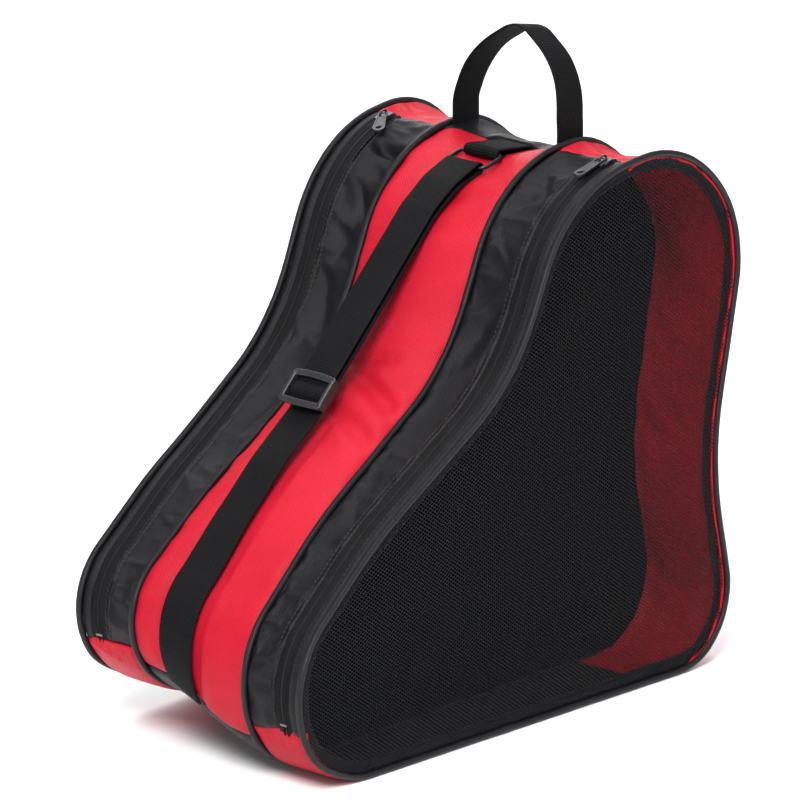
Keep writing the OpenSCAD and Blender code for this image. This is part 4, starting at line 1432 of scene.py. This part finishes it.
COIL_H = 1.2
PLATE_Z, PLATE_THICK, PIN_R = COIL_H + 0.5, 1.3, 0.8
PIN_Z = PLATE_Z + PLATE_THICK + PIN_R + 0.4


def slider_solids():
    """Slider body with its shoulders, side rails and the bridge that holds the pull."""
    half = 4.3
    low_edge = [(-6, -3.0), (-3.2, -3.4), (0.5, -half), (4.6, -half), (6, -3.0), (6, -0.7)]
    shield = low_edge + [(5.0, 0)] + [(x, -y) for x, y in reversed(low_edge)]
    parts = [prism(shield, PLATE_Z, PLATE_Z + PLATE_THICK)]
    for side in (-1, 1):
        parts.append(block((8.0, 0.9, PLATE_Z), (1.4, side * 3.8, PLATE_Z / 2 + 0.6)))
        parts.append(block((5.4, 0.9, PLATE_Z), (-3.0, side * 3.0, PLATE_Z / 2 + 0.6)))
    top = PIN_Z + PIN_R + 1.5
    low = PLATE_Z + PLATE_THICK - 0.3
    for k in range(13):
        a = math.pi * k / 12
        x, z = -3.1 * math.cos(a), low + (top - low - 0.5) * math.sin(a) ** 0.6
        parts.append(block((1.25, 1.3, 1.1), (x, 0, z)))
    return parts


def pull_solids():
    """Pull: an eye on the pin, a flared plate with a raised rim, and an eyelet at its tip."""
    cheek_in, cheek_out, neck, tip_r, hole_r, length, thick = 2.1, 3.1, 6.4, 4.1, 1.9, 25.0, 1.4
    tip_x = -length + tip_r
    parts = []
    for k in range(12):
        parts.append(block((0.62, 2 * cheek_out, 0.62), (0, 0, 0), math.pi * k / 12))
    for side in (-1, 1):
        cheek = (-neck / 2, side * (cheek_in + cheek_out) / 2, 0)
        parts.append(block((neck + 0.6, cheek_out - cheek_in, thick), cheek))
    end_x = tip_x + hole_r + 0.9
    parts.append(prism([(-neck, -cheek_out), (-neck, cheek_out), (end_x, 3.9), (end_x, -3.9)][::-1],
                       -thick * 0.32, thick * 0.32))
    for side in (-1, 1):
        steps = 16
        for k in range(steps):
            t = (k + 0.5) / steps
            x = -neck + t * (tip_x + neck)
            rim = (x, side * (cheek_out - 0.45 + t), 0)
            parts.append(block((abs(tip_x + neck) / steps + 0.3, 0.9, thick), rim))
    parts.append(block((0.9, 2 * cheek_out, thick), (-neck - 0.3, 0, 0)))
    for k in range(28):
        a = 2 * math.pi * k / 28
        for r, h in (((hole_r + tip_r) / 2, thick * 0.8), (tip_r - 0.5, thick)):
            size = (tip_r - hole_r, 0.95, h) if h < thick else (1.0, 1.05, h)
            p, f = block(size)
            c, s = math.cos(a), math.sin(a)
            out = p[:, 0] + r
            p = np.stack([c * out - s * p[:, 1] + tip_x, s * out + c * p[:, 1], p[:, 2]], 1)
            parts.append((p, f))
    return parts


SLIDER_ANGLE, RIGHT_PULL_SWING = 101, 30


def collar_matrix(right):
    angle = math.radians(SLIDER_ANGLE)
    m = Matrix.Diagonal((1, -1 if right else 1, 1, 1))
    m = m @ Matrix.Translation((0, TAPE_MIDDLE - SIDE_HALF, 0)) @ Matrix.Rotation(-FACE_FLARE, 4, "Z")
    m = m @ Matrix.Translation((COLLAR_MIDDLE[0], 0, COLLAR_MIDDLE[1]))
    return m @ Matrix.Rotation(math.pi / 2 - angle, 4, "Y") @ Matrix.Translation((0, 0, COLLAR_R - 0.3))


def back_zip_matrix():
    a, b = (pocket_point(np.array(float(k)), np.array(0.0), -0.3) for k in (56, 60))
    turn = math.atan2(b[2] - a[2], b[0] - a[0])
    m = Matrix.Translation(tuple(a)) @ Matrix.Rotation(-turn, 4, "Y")
    return m @ Matrix.Diagonal((-1, 1, 1, 1))


def make_slider(which, matrix, swing):
    """Slider and pull of one zip, each riding on its own body."""
    slider = molded(solids(f"{which}_slider_body", slider_solids(), ZIP_METAL), 0.2, 4)
    pull = molded(solids(f"{which}_pull_tab", pull_solids(), ZIP_METAL), 0.17, 4)
    place(slider, matrix)
    turn = Matrix.Rotation(-math.radians(swing), 4, "Z") @ Matrix.Rotation(-math.radians(4), 4, "Y")
    place(pull, matrix @ Matrix.Translation((0, 0, PIN_Z)) @ turn)
    if matrix.determinant() < 0:
        slider.data.flip_normals()
        pull.data.flip_normals()
    finish_piece(slider, [f"{which}_zip_slider"], f"{which}_slider")
    finish_piece(pull, [f"{which}_zip_pull"], f"{which}_pull")


def repaint(node, material, bevel=0.0):
    """Better finish on a CAD node that keeps its shape."""
    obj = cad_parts[node]
    if not obj.material_slots:
        obj.data.materials.append(material)
    for s in obj.material_slots:
        s.link = "OBJECT"
        s.material = material
    if bevel:
        edge_round = obj.modifiers.new("rounded edges", "BEVEL")
        edge_round.width = bevel * MM
        edge_round.segments = 2


# ---------------------------------------------------------------- the whole bag
make_camera()
make_studio()
for right in (False, True):
    make_mesh_panel(right)
    make_piping(right, False)
    make_piping(right, True)
    make_edge_strip(right)
    make_zip_tape(right)
    make_side_coil(right)
    make_front_gusset(right)
    make_red_gusset(right)
    make_divider(right)
make_front_panel()
make_top_patch()
make_pocket_back(-1)
make_pocket_back(1)
make_back_zip()
make_pocket_base()
make_tab()
make_ring()
make_upper_strap()
make_adjuster()
make_lower_strap()
make_handle()
make_slider("left", collar_matrix(False), 0)
make_slider("right", collar_matrix(True), RIGHT_PULL_SWING)
make_slider("back", back_zip_matrix(), 0)
for board in ("left_base_board", "right_base_board", "center_base_board"):
    repaint(board, BOARD)
repaint("zip_end_stops", ZIP_METAL, 0.35)
